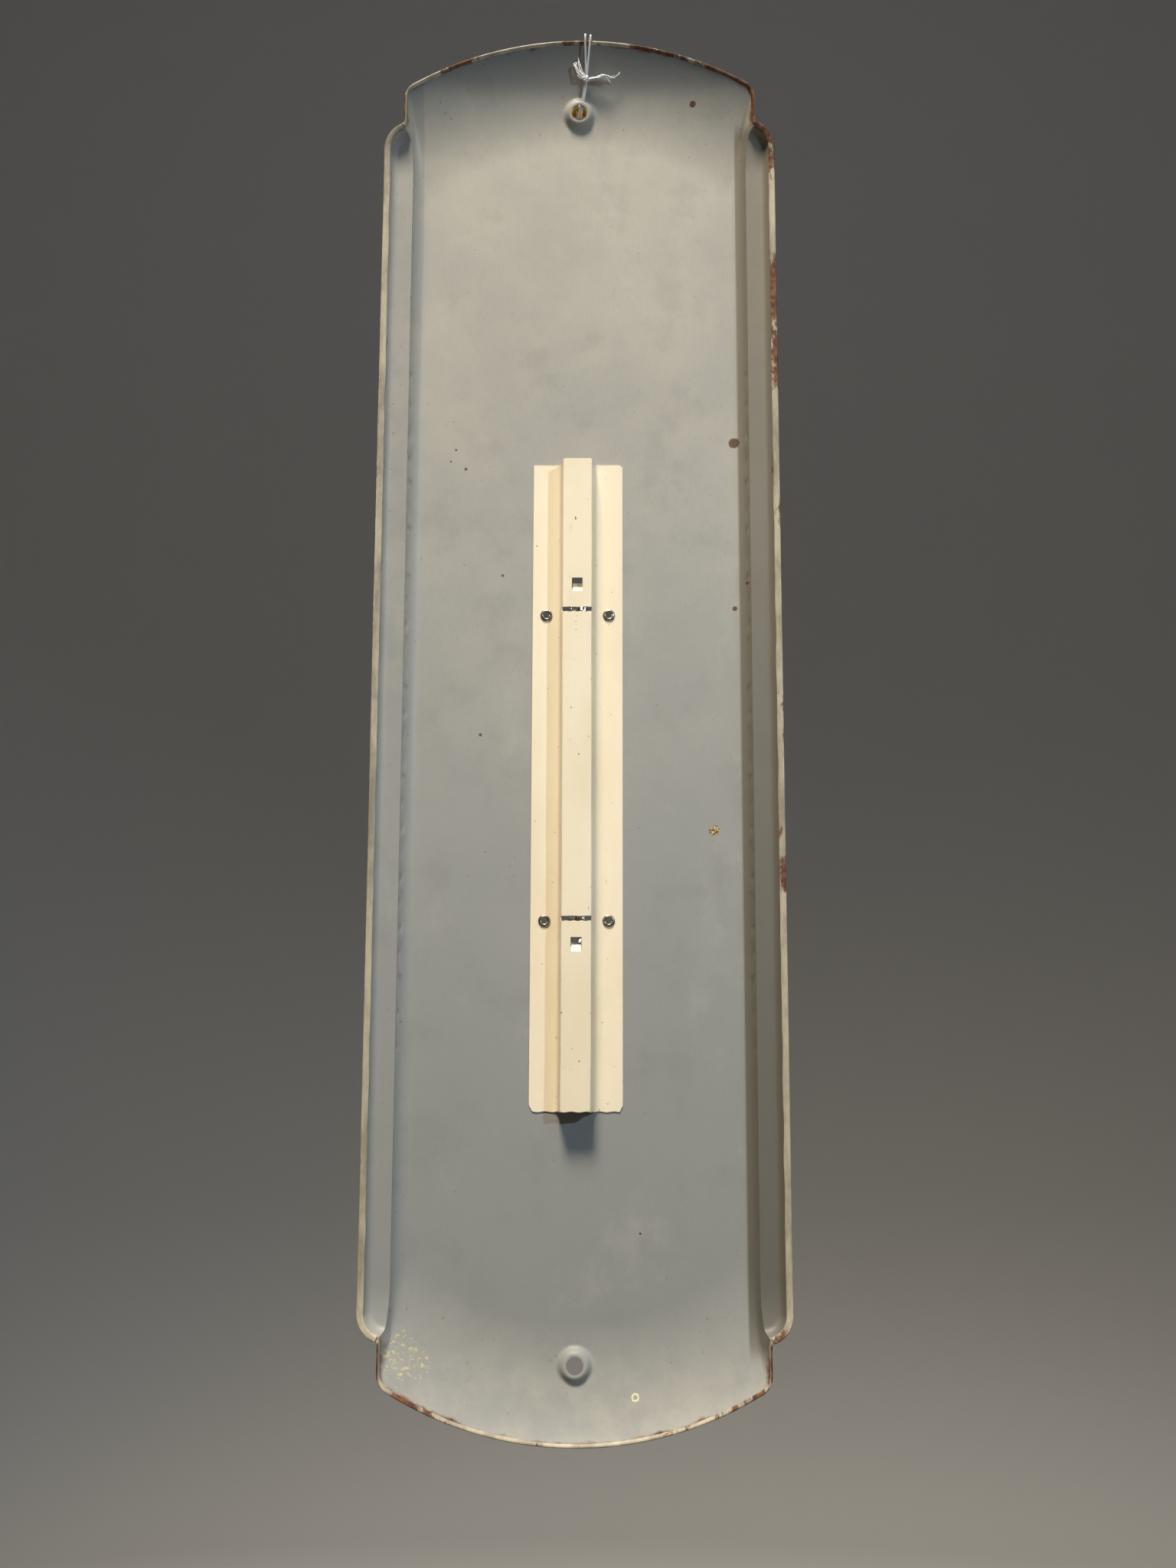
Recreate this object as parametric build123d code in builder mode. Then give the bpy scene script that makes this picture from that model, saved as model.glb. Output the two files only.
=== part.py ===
"""Pressed-steel wall thermometer: stamped face, tube carrier, glass tube and hanging cord.

Frame: origin at the centre of the top hanging hole, in the plane of the flat panel's back.
+Z is up, the dial faces -Y, the wall is on the +Y side. Sizes are in millimetres.
"""
import os
from math import asin, cos, degrees, pi, radians, sin, sqrt, tan

from build123d import *

os.makedirs("parts", exist_ok=True)

# ---------------------------------------------------------------- driving dimensions
sheet = 0.5                # steel of the face
overall_length = 686.0     # 27 in, arch top to arch top
hole_from_end = 33.9       # hanging hole to the nearer arch top
wing_half_width = 99.1     # half of the whole width
crown_half_width = 88.8    # half of the arched ends' width
crown_radius = 165.0       # plan radius of the arched ends
crown_corner = 8.0         # plan radius of the arched ends' corners
crown_side = 44.4          # arch top down to the notch where a wing starts
wing_corner = 13.0         # plan radius of the wings' corners

panel_flat_half = 75.5     # half width of the flat panel, up to the cove
cove_radius = 10.15        # cove between the panel and the sloping side
side_slope = 65.0          # slope of the side above the cove, degrees
end_curl = 52.0            # length of the curled ends, measured along the plan radius
rim_height = 14.7          # rim of the arched ends above the panel's back
wing_floor = 5.86          # back of the wing above the panel's back
wing_cove_start = 91.5     # where the wing starts to turn up to its lip
wing_cove = 4.5            # radius of that turn
lip_height = 9.9           # top of the folded lip above the panel's back
lip_band = 3.1             # width of the folded lip
wing_rise = 4.8            # how far each end of a wing rises
wing_rise_length = 25.0    # over this length
wing_turn = 62.0           # slope of the turn-up, degrees
wing_overlap = 1.6         # the wing's floor starts this far inside the side's sharp line
hem_band = 2.2             # width of the folded edge on the arched ends

hole_radius = 3.95         # both hanging holes
dimple_height = 2.9        # flat land round each hole above the panel's back
dimple_land = 5.0          # radius of that land
dimple_foot = 7.2          # radius of the dimple's foot
dimple_drop = 3.4          # land down to the foot, a little below the panel's back

window_width = 16.0        # slot in the face in front of the tube
window_margin = 42.0       # carrier end to window end
carrier_length = 316.3
carrier_top = -188.4       # top end of the carrier
carrier_width = 44.0
carrier_sheet = 0.45
carrier_height = 10.9      # back of the channel above the panel's back
channel_face = 14.2        # width of the channel's back
channel_base = 19.4        # width of the channel where it meets the flanges

eyelet_spacing_x = 30.6
eyelet_hole = 1.95         # hole radius in the face and the carrier
eyelet_flange = 3.0        # radius of the rolled flange on the carrier
eyelet_head = 3.2          # radius of the flat head on the dial side
eyelet_wall = 0.35
eyelet_fit = 0.05
eyelet_drop_upper = 0.4    # eyelets below the slot beside them
eyelet_drop_lower = 0.3
slot_drop = 76.6           # carrier top to the upper slot
slot_spacing = 150.1       # upper slot to lower slot
slot_height = 2.3
slot_depth = 1.6           # how deep the slots reach into the channel
slot_run_out = 3.0         # slots are cut this much wider than the channel's back
lance_width = 5.2
lance_height = 7.0
lance_offset = 12.3        # slot to the middle of the lanced opening, away from the tube's middle
tab_reach = 6.6            # how far a lanced tab stands into the channel
tab_clearance = 0.2        # lanced opening wider than its tab

tube_radius = 3.0
tube_gap = 0.15            # tube to carrier and tube to tab
bulb_length = 14.0
bulb_bore = 2.3
bulb_flat = 1.6            # radius of the bulb's flat floor
bulb_round = 1.15          # height of the rounding above it
bulb_neck = 1.0            # the spirit of the bulb reaches this far up the capillary
capillary = 0.5
fluid_gap = 0.03
head_length = 5.0          # small chamber at the tube's top
head_bore = 1.2
tube_shoulder = 2.5
clip_strip = 0.4
clip_width = 1.9
clip_gap = 0.25            # clip to tube
clip_stand_out = 0.15      # the clip's legs pass the channel's back by this much

scale_low = -40.0          # degrees at the scale's lower end
scale_high = 120.0
scale_rest = 70.0
scale_length = 132.0       # distance between the two ends of the scale
scale_lift = 9.5           # lower slot to the scale's lower end
level_length = 1.2         # the moving top of the column

grommet_sheet = 0.38
grommet_fit = 0.06
grommet_throat = 1.75      # bore at the front
grommet_front = 0.6        # throat's front end below the panel's back
grommet_cone_end = 0.2     # where the cone meets the throat
cord = 1.0                 # cord diameter
knot_radius = 1.7
knot_half_length = 2.0
arc_share = 0.45           # share of the shorter run that an arc of the cord takes

# ---------------------------------------------------------------- worked-out places
top_end = hole_from_end
bottom_hole = -(overall_length - 2 * hole_from_end)
bottom_end = bottom_hole - hole_from_end
middle = (top_end + bottom_end) / 2
crown_centre = top_end - crown_radius
notch = top_end - crown_side
curl_start = crown_radius - end_curl
curl_radius = (end_curl**2 + rim_height**2) / (2 * rim_height)
wing_rise_radius = (wing_rise_length**2 + wing_rise**2) / (2 * wing_rise)
slot_up = carrier_top - slot_drop
slot_low = slot_up - slot_spacing
eyelet_rows = (slot_up - eyelet_drop_upper, slot_low - eyelet_drop_lower)
carrier_mid = carrier_top - carrier_length / 2
tube_y = carrier_height - carrier_sheet - tube_gap - tube_radius
lance_up = slot_up + lance_offset
lance_low = slot_low - lance_offset
tab_up = lance_up - lance_height / 2
tab_low = lance_low - lance_height / 2
tube_bottom = tab_low + carrier_sheet + tube_gap
tube_top = tab_up - tube_gap
scale_bottom = slot_low + scale_lift
degree = scale_length / (scale_high - scale_low)
level_rest = scale_bottom + (scale_rest - scale_low) * degree
above = 24.0               # a level clear above every rim
margin = 10.0              # cutting shapes run past the metal by this much
curl_margin = 12.0         # the curl's profile runs past the rim by this much
wing_margin = 6.0          # the space over a wing runs past its edge by this much
curl_arc = 65              # half angle that each curled end is revolved through
clear_plane = Plane.XZ.offset(-2 * above)   # a plane clear of the whole face, on the wall side


def side_profile(skin):
    """Half cross-section of the hollow over the panel and the sloping side, offset by skin."""
    slope = radians(side_slope)
    cove_end = (
        panel_flat_half + (cove_radius + skin) * sin(slope),
        cove_radius - (cove_radius + skin) * cos(slope),
    )
    top = (cove_end[0] + (above - cove_end[1]) / tan(slope), above)
    middle_angle = slope / 2
    cove_mid = (
        panel_flat_half + (cove_radius + skin) * sin(middle_angle),
        cove_radius - (cove_radius + skin) * cos(middle_angle),
    )
    with BuildSketch(Plane.XY.offset(middle)) as sketch:
        with BuildLine():
            Line((0, -skin), (panel_flat_half, -skin))
            ThreePointArc((panel_flat_half, -skin), cove_mid, cove_end)
            Polyline(cove_end, top, (0, above), (0, -skin))
        make_face()
        mirror(about=Plane.YZ)
    return sketch.sketch


def curl_profile(skin):
    """Metal under the curled end, in the plane of the crown's axis: X is the plan radius, Y the height."""
    reach = end_curl + curl_margin
    angle = asin(reach / (curl_radius + skin))
    end = (curl_start + reach, curl_radius - (curl_radius + skin) * cos(angle))
    half = (
        curl_start + (curl_radius + skin) * sin(angle / 2),
        curl_radius - (curl_radius + skin) * cos(angle / 2),
    )
    with BuildSketch(Plane(origin=(0, 0, crown_centre), x_dir=(0, 0, 1), z_dir=(-1, 0, 0))) as sketch:
        with BuildLine():
            ThreePointArc((curl_start, -skin), half, end)
            Polyline(end, (end[0], -skin - 3), (curl_start, -skin - 3), (curl_start, -skin))
        make_face()
    return sketch.sketch


def hollow(skin):
    """The space on the wall side of the panel, with both curled ends, offset towards the dial by skin."""
    with BuildPart() as space:
        add(side_profile(skin))
        extrude(amount=overall_length / 2 + margin, both=True)
    with BuildPart() as curl:
        add(curl_profile(skin))
        revolve(axis=Axis((0, 0, crown_centre), (0, 1, 0)), revolution_arc=curl_arc)
        add(curl_profile(skin))
        revolve(axis=Axis((0, 0, crown_centre), (0, 1, 0)), revolution_arc=-curl_arc)
    with BuildPart() as shaped:
        add(space.part)
        add(curl.part, mode=Mode.SUBTRACT)
        add(mirror(curl.part, about=Plane.XY.offset(middle)), mode=Mode.SUBTRACT)
    return shaped.part


def plan_prism(inset=0.0):
    """Tall prism over the face's plan, shrunk all round by inset: two wings and two arched ends."""
    half = crown_half_width - inset
    radius = crown_radius - inset
    shoulder = crown_centre + sqrt(radius**2 - half**2)
    with BuildPart() as prism:
        with BuildSketch(clear_plane) as plan:
            with Locations((0, middle)):
                width, height = 2 * (wing_half_width - inset), 2 * (notch - middle - inset)
                RectangleRounded(width, height, wing_corner - inset)
            for way in (1, -1):
                levels = (shoulder, top_end - inset, crown_centre)
                side, tip, waist = (middle + way * (z - middle) for z in levels)
                with BuildLine():
                    ThreePointArc((-half, side), (0, tip), (half, side))
                    Polyline((half, side), (half, waist), (-half, waist), (-half, side))
                make_face()
                corners = plan.vertices().filter_by(lambda v: abs(v.Y - side) < 0.01)
                fillet(corners, crown_corner - inset)
        extrude(amount=4 * above)
    return prism.part


# ---------------------------------------------------------------- face body
def wing_sweep(points_and_arcs):
    """One wing's section swept along its raised ends, for the +X side."""
    with BuildPart() as swept:
        straight = notch - wing_rise_length
        rise_angle = asin(wing_rise_length / wing_rise_radius)
        with BuildLine(Plane.YZ) as path:
            lead = Line((0, middle), (0, straight))
            JernArc(lead @ 1, lead % 1, -wing_rise_radius, degrees(rise_angle) + 3)
        with BuildSketch(Plane.XY.offset(middle)):
            with BuildLine():
                points_and_arcs()
            make_face()
        sweep(path=path.wire())
    with BuildPart() as whole:
        add(swept.part)
        add(mirror(swept.part, about=Plane.XY.offset(middle)))
    return whole.part


wing_inner = panel_flat_half + cove_radius * sin(radians(side_slope)) - wing_overlap
wing_cove_angle = radians(wing_turn)


def wing_point(angle, skin):
    """A point of the wing's turn-up at an angle, offset towards the dial by skin."""
    return (
        wing_cove_start + (wing_cove + skin) * sin(angle),
        wing_floor + wing_cove - (wing_cove + skin) * cos(angle),
    )


def wing_section():
    """Closed section of a wing: floor, turn-up and the folded lip."""
    back_end = wing_point(wing_cove_angle, 0)
    front_end = wing_point(wing_cove_angle, sheet)
    lip_inner = wing_half_width - lip_band
    Line((wing_inner, wing_floor), (wing_cove_start, wing_floor))
    ThreePointArc((wing_cove_start, wing_floor), wing_point(wing_cove_angle / 2, 0), back_end)
    Polyline(
        back_end,
        (lip_inner, back_end[1] + (lip_inner - back_end[0]) * tan(wing_cove_angle)),
        (lip_inner, lip_height),
        (wing_half_width - sheet, lip_height),
    )
    ThreePointArc(
        (wing_half_width - sheet, lip_height),
        (wing_half_width, lip_height - sheet),
        (wing_half_width - sheet, lip_height - 2 * sheet),
    )
    lip_front = lip_height - 2 * sheet
    Polyline(
        (wing_half_width - sheet, lip_front),
        (front_end[0] + (lip_front - front_end[1]) / tan(wing_cove_angle), lip_front),
        front_end,
    )
    ThreePointArc(front_end, wing_point(wing_cove_angle / 2, sheet), (wing_cove_start, wing_floor - sheet))
    Line((wing_cove_start, wing_floor - sheet), (wing_inner, wing_floor - sheet))
    Line((wing_inner, wing_floor - sheet), (wing_inner, wing_floor))


def wing_space():
    """Section of the space on the wall side of a wing."""
    outer = wing_half_width + wing_margin
    Polyline(
        (wing_inner, wing_floor - sheet / 2), (outer, wing_floor - sheet / 2), (outer, above + margin),
        (wing_inner, above + margin), (wing_inner, wing_floor - sheet / 2),
    )


panel_hollow = hollow(0)
panel_outer = hollow(sheet)
crown_hem_layer = hollow(-sheet)
wing_plus = wing_sweep(wing_section)
wing_space_plus = wing_sweep(wing_space)

with BuildPart() as wing_zone:
    with BuildSketch(clear_plane):
        with Locations((0, middle)):
            Rectangle(2 * (wing_half_width + margin), 2 * (notch - middle))
    extrude(amount=4 * above)

with BuildPart() as crown_hem:
    add(panel_hollow)
    add(crown_hem_layer, mode=Mode.SUBTRACT)
    add(plan_prism(0), mode=Mode.INTERSECT)
    add(plan_prism(hem_band), mode=Mode.SUBTRACT)
    add(wing_zone.part, mode=Mode.SUBTRACT)

with BuildPart() as wing_spaces:
    add(wing_space_plus)
    add(mirror(wing_space_plus, about=Plane.YZ))
    add(wing_zone.part, mode=Mode.INTERSECT)

with BuildPart() as wings:
    add(wing_plus)
    add(mirror(wing_plus, about=Plane.YZ))
    add(wing_zone.part, mode=Mode.INTERSECT)
    add(panel_hollow, mode=Mode.SUBTRACT)

with BuildPart() as panel:
    add(panel_outer)
    add(panel_hollow, mode=Mode.SUBTRACT)
    add(wing_spaces.part, mode=Mode.SUBTRACT)

with BuildPart() as trimmed:
    add(panel.part)
    add(wings.part)
    add(plan_prism(0), mode=Mode.INTERSECT)
    add(crown_hem.part)


def dimple_cone(level, land, foot, drop):
    """Frustum of a raised dimple about a vertical axis through the origin, as a solid on the +Y axis."""
    with BuildPart() as cone:
        with BuildSketch(Plane.XY):
            with BuildLine():
                Polyline((0, level), (land, level), (foot, level - drop), (0, level - drop), (0, level))
            make_face()
        revolve(axis=Axis.Y)
    return cone.part


land_front = dimple_height - sheet
back_cone = dimple_cone(dimple_height, dimple_land, dimple_foot, dimple_drop)
front_cone = dimple_cone(land_front, dimple_land - sheet / 2, dimple_foot - sheet / 2, dimple_drop + sheet)
with BuildPart() as dimple_back:
    add(back_cone)
    with Locations((0, 0, bottom_hole)):
        add(back_cone)
    add(panel_outer, mode=Mode.INTERSECT)
with BuildPart() as dimple_front:
    add(front_cone)
    with Locations((0, 0, bottom_hole)):
        add(front_cone)

eyelet_places = [(side * eyelet_spacing_x / 2, row) for row in eyelet_rows for side in (1, -1)]
window_length = carrier_length - 2 * window_margin
with BuildPart() as face_body:
    add(trimmed.part)
    add(dimple_back.part)
    add(dimple_front.part, mode=Mode.SUBTRACT)
    with BuildSketch(clear_plane):
        with Locations((0, 0), (0, bottom_hole)):
            Circle(hole_radius)
        with Locations(*eyelet_places):
            Circle(eyelet_hole)
        with Locations((0, carrier_mid)):
            SlotOverall(window_length, window_width, rotation=90)
    extrude(amount=4 * above, mode=Mode.SUBTRACT)

# ---------------------------------------------------------------- tube carrier
lance_cut = lance_height - carrier_sheet
with BuildPart() as tube_carrier:
    with BuildSketch(Plane.XY.offset(carrier_top)):
        with BuildLine():
            Polyline(
                (carrier_width / 2, 0),
                (carrier_width / 2, carrier_sheet),
                (channel_base / 2, carrier_sheet),
                (channel_face / 2, carrier_height),
                (0, carrier_height),
                (0, carrier_height - carrier_sheet),
                (channel_face / 2 - carrier_sheet, carrier_height - carrier_sheet),
                (channel_base / 2 - carrier_sheet, 0),
                (carrier_width / 2, 0),
            )
        make_face()
        mirror(about=Plane.YZ)
    extrude(amount=-carrier_length)
    with BuildSketch(Plane.XZ.offset(-carrier_height - 1)):
        with Locations((0, slot_up), (0, slot_low)):
            Rectangle(channel_face + slot_run_out, slot_height)
    extrude(amount=slot_depth + 1, mode=Mode.SUBTRACT)
    with BuildSketch(Plane.XZ.offset(-carrier_height - 1)):
        with Locations((0, lance_up + carrier_sheet / 2), (0, lance_low + carrier_sheet / 2)):
            Rectangle(lance_width, lance_cut)
        with Locations(*eyelet_places):
            Circle(eyelet_hole)
    extrude(amount=carrier_height + 2, mode=Mode.SUBTRACT)
    for tab in (tab_up, tab_low):
        with Locations((0, carrier_height, tab)):
            tab_width = lance_width - tab_clearance
            Box(tab_width, tab_reach, carrier_sheet, align=(Align.CENTER, Align.MAX, Align.MIN))

# ---------------------------------------------------------------- eyelets through the flanges
eyelets = {}
eyelet_barrel = eyelet_hole - eyelet_fit
eyelet_inner = eyelet_barrel - eyelet_wall
eyelet_corners = ("upper_left", "upper_right", "lower_left", "lower_right")
for (eyelet_x, eyelet_z), corner in zip(eyelet_places, eyelet_corners):
    with BuildPart() as eyelet:
        with BuildSketch(Plane.XY):
            with BuildLine():
                Polyline(
                    (eyelet_inner, -sheet - eyelet_wall),
                    (eyelet_head, -sheet - eyelet_wall),
                    (eyelet_head, -sheet),
                    (eyelet_barrel, -sheet),
                    (eyelet_barrel, carrier_sheet),
                    (eyelet_flange, carrier_sheet),
                )
                ThreePointArc(
                    (eyelet_flange, carrier_sheet),
                    ((eyelet_flange + eyelet_inner) / 2, carrier_sheet + 2 * eyelet_wall),
                    (eyelet_inner, carrier_sheet),
                )
                Line((eyelet_inner, carrier_sheet), (eyelet_inner, -sheet - eyelet_wall))
            make_face()
        revolve(axis=Axis.Y)
    eyelets[corner] = eyelet.part.moved(Location((eyelet_x, 0, eyelet_z)))

# ---------------------------------------------------------------- glass tube and its spirit
tube_axis = Axis((0, tube_y, 0), (0, 0, 1))
tube_plane = Plane(origin=(0, tube_y, 0), x_dir=(1, 0, 0), z_dir=(0, -1, 0))
bulb_floor = tube_bottom + tube_radius - bulb_bore
bulb_top = bulb_floor + bulb_length
head_top = tube_top - tube_shoulder
head_floor = head_top - head_length
with BuildPart() as glass_tube:
    with BuildSketch(tube_plane):
        with BuildLine():
            ThreePointArc(
                (0, tube_bottom),
                (tube_radius * sin(radians(45)), tube_bottom + tube_radius * (1 - cos(radians(45)))),
                (tube_radius, tube_bottom + tube_radius),
            )
            Line((tube_radius, tube_bottom + tube_radius), (tube_radius, tube_top - tube_radius))
            ThreePointArc(
                (tube_radius, tube_top - tube_radius),
                (tube_radius * sin(radians(45)), tube_top - tube_radius * (1 - cos(radians(45)))),
                (0, tube_top),
            )
            Line((0, tube_top), (0, tube_bottom))
        make_face()
    revolve(axis=tube_axis)
    with BuildSketch(tube_plane):
        with BuildLine():
            Polyline(
                (0, bulb_floor), (bulb_flat, bulb_floor), (bulb_bore, bulb_floor + bulb_round),
                (bulb_bore, bulb_top - bulb_bore), (capillary, bulb_top), (capillary, head_floor),
                (head_bore, head_floor + head_bore), (head_bore, head_top - head_bore), (0, head_top),
                (0, bulb_floor),
            )
        make_face()
    revolve(axis=tube_axis, mode=Mode.SUBTRACT)

with BuildPart() as bulb_spirit:
    with BuildSketch(tube_plane):
        with BuildLine():
            inside = bulb_bore - fluid_gap
            Polyline(
                (0, bulb_floor + fluid_gap), (bulb_flat - fluid_gap, bulb_floor + fluid_gap),
                (inside, bulb_floor + bulb_round + fluid_gap), (inside, bulb_top - bulb_bore - fluid_gap),
                (capillary - fluid_gap, bulb_top - 2 * fluid_gap), (capillary - fluid_gap, bulb_top + bulb_neck),
                (0, bulb_top + bulb_neck), (0, bulb_floor + fluid_gap),
            )
        make_face()
    revolve(axis=tube_axis)

thread_foot = bulb_top + bulb_neck
with BuildPart() as spirit_thread:
    with BuildSketch(Plane.XY.offset(thread_foot)):
        with Locations((0, tube_y)):
            Circle(capillary - fluid_gap)
    extrude(amount=level_rest - level_length - thread_foot)

with BuildPart() as spirit_level:
    with BuildSketch(Plane.XY.offset(level_rest - level_length)):
        with Locations((0, tube_y)):
            Circle(capillary - fluid_gap)
    extrude(amount=level_length)

# ---------------------------------------------------------------- tube clips
clip_inner = tube_radius + clip_gap
clip_outer = clip_inner + clip_strip


def tube_clip(height):
    """Sprung strip saddle over the tube's front, both legs ending in the carrier's slot."""
    with BuildPart() as clip:
        with BuildSketch(Plane.XY.offset(height)):
            with BuildLine():
                ThreePointArc((clip_outer, tube_y), (0, tube_y - clip_outer), (-clip_outer, tube_y))
                Polyline(
                    (-clip_outer, tube_y), (-clip_outer, carrier_height + clip_stand_out),
                    (-clip_inner, carrier_height + clip_stand_out), (-clip_inner, tube_y),
                )
                ThreePointArc((-clip_inner, tube_y), (0, tube_y - clip_inner), (clip_inner, tube_y))
                Polyline(
                    (clip_inner, tube_y), (clip_inner, carrier_height + clip_stand_out),
                    (clip_outer, carrier_height + clip_stand_out), (clip_outer, tube_y),
                )
            make_face()
        extrude(amount=clip_width / 2, both=True)
    return clip.part


# ---------------------------------------------------------------- hanging grommet
grommet_barrel = hole_radius - grommet_fit
with BuildPart() as hanging_grommet:
    with BuildSketch(Plane.XY):
        with BuildLine():
            Polyline(
                (grommet_barrel - grommet_sheet, dimple_height), (grommet_barrel, dimple_height),
                (grommet_barrel, land_front), (dimple_land - sheet, land_front),
                (dimple_land - sheet, land_front - grommet_sheet), (grommet_barrel, land_front - grommet_sheet),
                (grommet_throat + grommet_sheet, grommet_cone_end), (grommet_throat + grommet_sheet, -grommet_front),
                (grommet_throat, -grommet_front), (grommet_throat, grommet_cone_end),
                (grommet_barrel - grommet_sheet, dimple_height),
            )
        make_face()
    revolve(axis=Axis.Y)

# ---------------------------------------------------------------- hanging cord
# The cord is tied round the arch twice: knot, hole, front, over the rim, past the knot and round again.
knot_centre = (-3.3, 8.6, 16.0)
loop_route = [
    (-3.0, 7.9, 14.4), (-1.2, 4.6, 5.6), (0.3, 2.6, 1.0), (0.65, 0.4, 0.0), (0.7, -1.3, 0.2), (0.6, -1.7, 1.9),
    (0.2, -0.9, 6.0), (-0.9, 1.6, 14.0), (-2.0, 5.2, 22.0), (-2.9, 9.7, 29.7), (-3.1, 13.2, 34.7),
    (-3.1, 15.4, 36.4), (-3.1, 17.5, 35.7), (-3.1, 17.2, 33.2), (-3.2, 12.8, 24.6), (-3.75, 9.0, 16.6),
    (-3.0, 6.6, 10.0), (-1.75, 4.2, 4.2), (-1.0, 2.4, 0.8), (-0.7, 0.4, -0.1), (-0.75, -1.3, 0.1),
    (-0.95, -1.7, 1.9), (-1.5, -0.9, 6.0), (-3.0, 1.6, 14.0), (-4.5, 5.2, 22.0), (-5.6, 9.6, 29.5),
    (-5.9, 13.0, 34.4), (-5.9, 15.2, 36.1), (-5.85, 17.3, 35.3), (-5.6, 16.8, 32.8), (-4.8, 13.2, 25.5),
    (-3.9, 9.9, 18.2),
]
short_tail_route = [(-2.5, 9.1, 16.9), (-1.0, 10.3, 18.6), (0.2, 11.0, 21.2), (0.6, 11.5, 24.4)]
long_tail_route = [
    (-4.7, 8.9, 16.0), (-7.4, 9.2, 16.6), (-10.6, 9.4, 17.0), (-13.6, 9.6, 16.2), (-16.6, 9.7, 15.7),
    (-19.0, 9.8, 16.6), (-20.8, 10.0, 18.6),
]


def route_radii(route):
    """Arc radius at each inner point of a route, as large as its two runs allow."""
    points = [Vector(*p) for p in route]
    radii = []
    for before, at, after in zip(points, points[1:], points[2:]):
        one, two = at - before, after - at
        turn = radians(one.get_angle(two))
        radii.append(arc_share * min(one.length, two.length) / tan(turn / 2))
    return radii


def cord_tube(route, name):
    """Round cord along straight runs joined by tangent arcs."""
    radii = route_radii(route)
    with BuildPart() as tube:
        with BuildLine() as path:
            FilletPolyline(*route, radius=radii)
        with BuildSketch(Plane(origin=path.line @ 0, z_dir=path.line % 0)):
            Circle(cord / 2)
        sweep(path=path.wire())
    length = path.wire().length
    share = tube.part.volume / (length * pi * cord**2 / 4)
    print(f"{name}: {length:.1f} mm, tightest arc {min(radii):.2f} mm, volume over section x length {share:.3f}")
    return tube.part


knot_plane = Plane(origin=knot_centre, x_dir=(0.35, 0.35, 0.87), z_dir=(-0.93, 0.13, 0.32184))
with BuildPart() as cord_knot:
    with BuildSketch(knot_plane):
        with BuildLine():
            ThreePointArc((-knot_half_length, 0), (0, knot_radius), (knot_half_length, 0))
            Line((knot_half_length, 0), (-knot_half_length, 0))
        make_face()
    revolve(axis=Axis(knot_plane.origin, knot_plane.x_dir))

# ---------------------------------------------------------------- write the pieces
pieces = {
    "face_body": face_body.part,
    "tube_carrier": tube_carrier.part,
    "glass_tube": glass_tube.part,
    "bulb_spirit": bulb_spirit.part,
    "spirit_thread": spirit_thread.part,
    "spirit_level": spirit_level.part,
    "upper_tube_clip": tube_clip(slot_up),
    "lower_tube_clip": tube_clip(slot_low),
    "hanging_grommet": hanging_grommet.part,
    "hanging_cord": cord_tube(loop_route, "hanging_cord"),
    "cord_knot": cord_knot.part,
    "cord_tail_short": cord_tube(short_tail_route, "cord_tail_short"),
    "cord_tail_long": cord_tube(long_tail_route, "cord_tail_long"),
}
pieces.update({f"carrier_eyelet_{corner}": eyelet for corner, eyelet in eyelets.items()})
for name, piece in pieces.items():
    piece.label = name
    export_step(piece, f"parts/{name}.step")
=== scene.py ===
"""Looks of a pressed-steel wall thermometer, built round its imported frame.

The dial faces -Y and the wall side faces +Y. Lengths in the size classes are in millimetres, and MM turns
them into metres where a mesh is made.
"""

import logging
import math
from dataclasses import dataclass, field
from enum import Enum

import bmesh
import bpy
import numpy as np
from mathutils import Matrix, Vector, geometry, noise

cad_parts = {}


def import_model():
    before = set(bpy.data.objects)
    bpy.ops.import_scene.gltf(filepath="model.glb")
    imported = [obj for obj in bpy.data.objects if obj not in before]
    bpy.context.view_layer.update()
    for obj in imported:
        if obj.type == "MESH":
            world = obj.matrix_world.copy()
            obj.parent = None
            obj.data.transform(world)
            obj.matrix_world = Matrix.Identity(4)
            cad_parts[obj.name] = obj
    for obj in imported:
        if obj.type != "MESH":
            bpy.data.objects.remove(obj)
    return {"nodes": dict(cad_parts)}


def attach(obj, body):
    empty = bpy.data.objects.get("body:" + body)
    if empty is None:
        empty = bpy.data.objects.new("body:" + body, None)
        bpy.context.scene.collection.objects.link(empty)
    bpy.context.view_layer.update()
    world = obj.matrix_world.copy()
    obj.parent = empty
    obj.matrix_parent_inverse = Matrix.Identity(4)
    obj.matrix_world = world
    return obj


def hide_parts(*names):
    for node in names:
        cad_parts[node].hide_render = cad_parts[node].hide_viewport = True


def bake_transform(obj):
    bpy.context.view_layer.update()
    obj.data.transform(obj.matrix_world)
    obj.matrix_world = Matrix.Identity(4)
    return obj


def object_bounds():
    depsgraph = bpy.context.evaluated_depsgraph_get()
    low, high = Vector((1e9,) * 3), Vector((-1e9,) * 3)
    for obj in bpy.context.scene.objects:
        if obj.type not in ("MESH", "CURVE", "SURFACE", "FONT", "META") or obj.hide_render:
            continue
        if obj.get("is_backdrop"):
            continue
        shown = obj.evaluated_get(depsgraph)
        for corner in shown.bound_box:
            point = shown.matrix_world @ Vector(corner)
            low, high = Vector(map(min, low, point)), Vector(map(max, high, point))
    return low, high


Socket = bpy.types.NodeSocket
Material = bpy.types.Material
Piece = bpy.types.Object
LOG = logging.getLogger("thermometer")
MM = 0.001
STEEL_BODY = "thermometer"
COLUMN_BODY = "column_top"
PROBE = 0.2  # a step this long from an outline, in millimetres, tells its inside from its outside


class Side(Enum):
    """Which side of the pressed sheet a finish lies on."""

    WALL = 0
    DIAL = 1


# --------------------------------------------------------------------------- finishes


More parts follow.
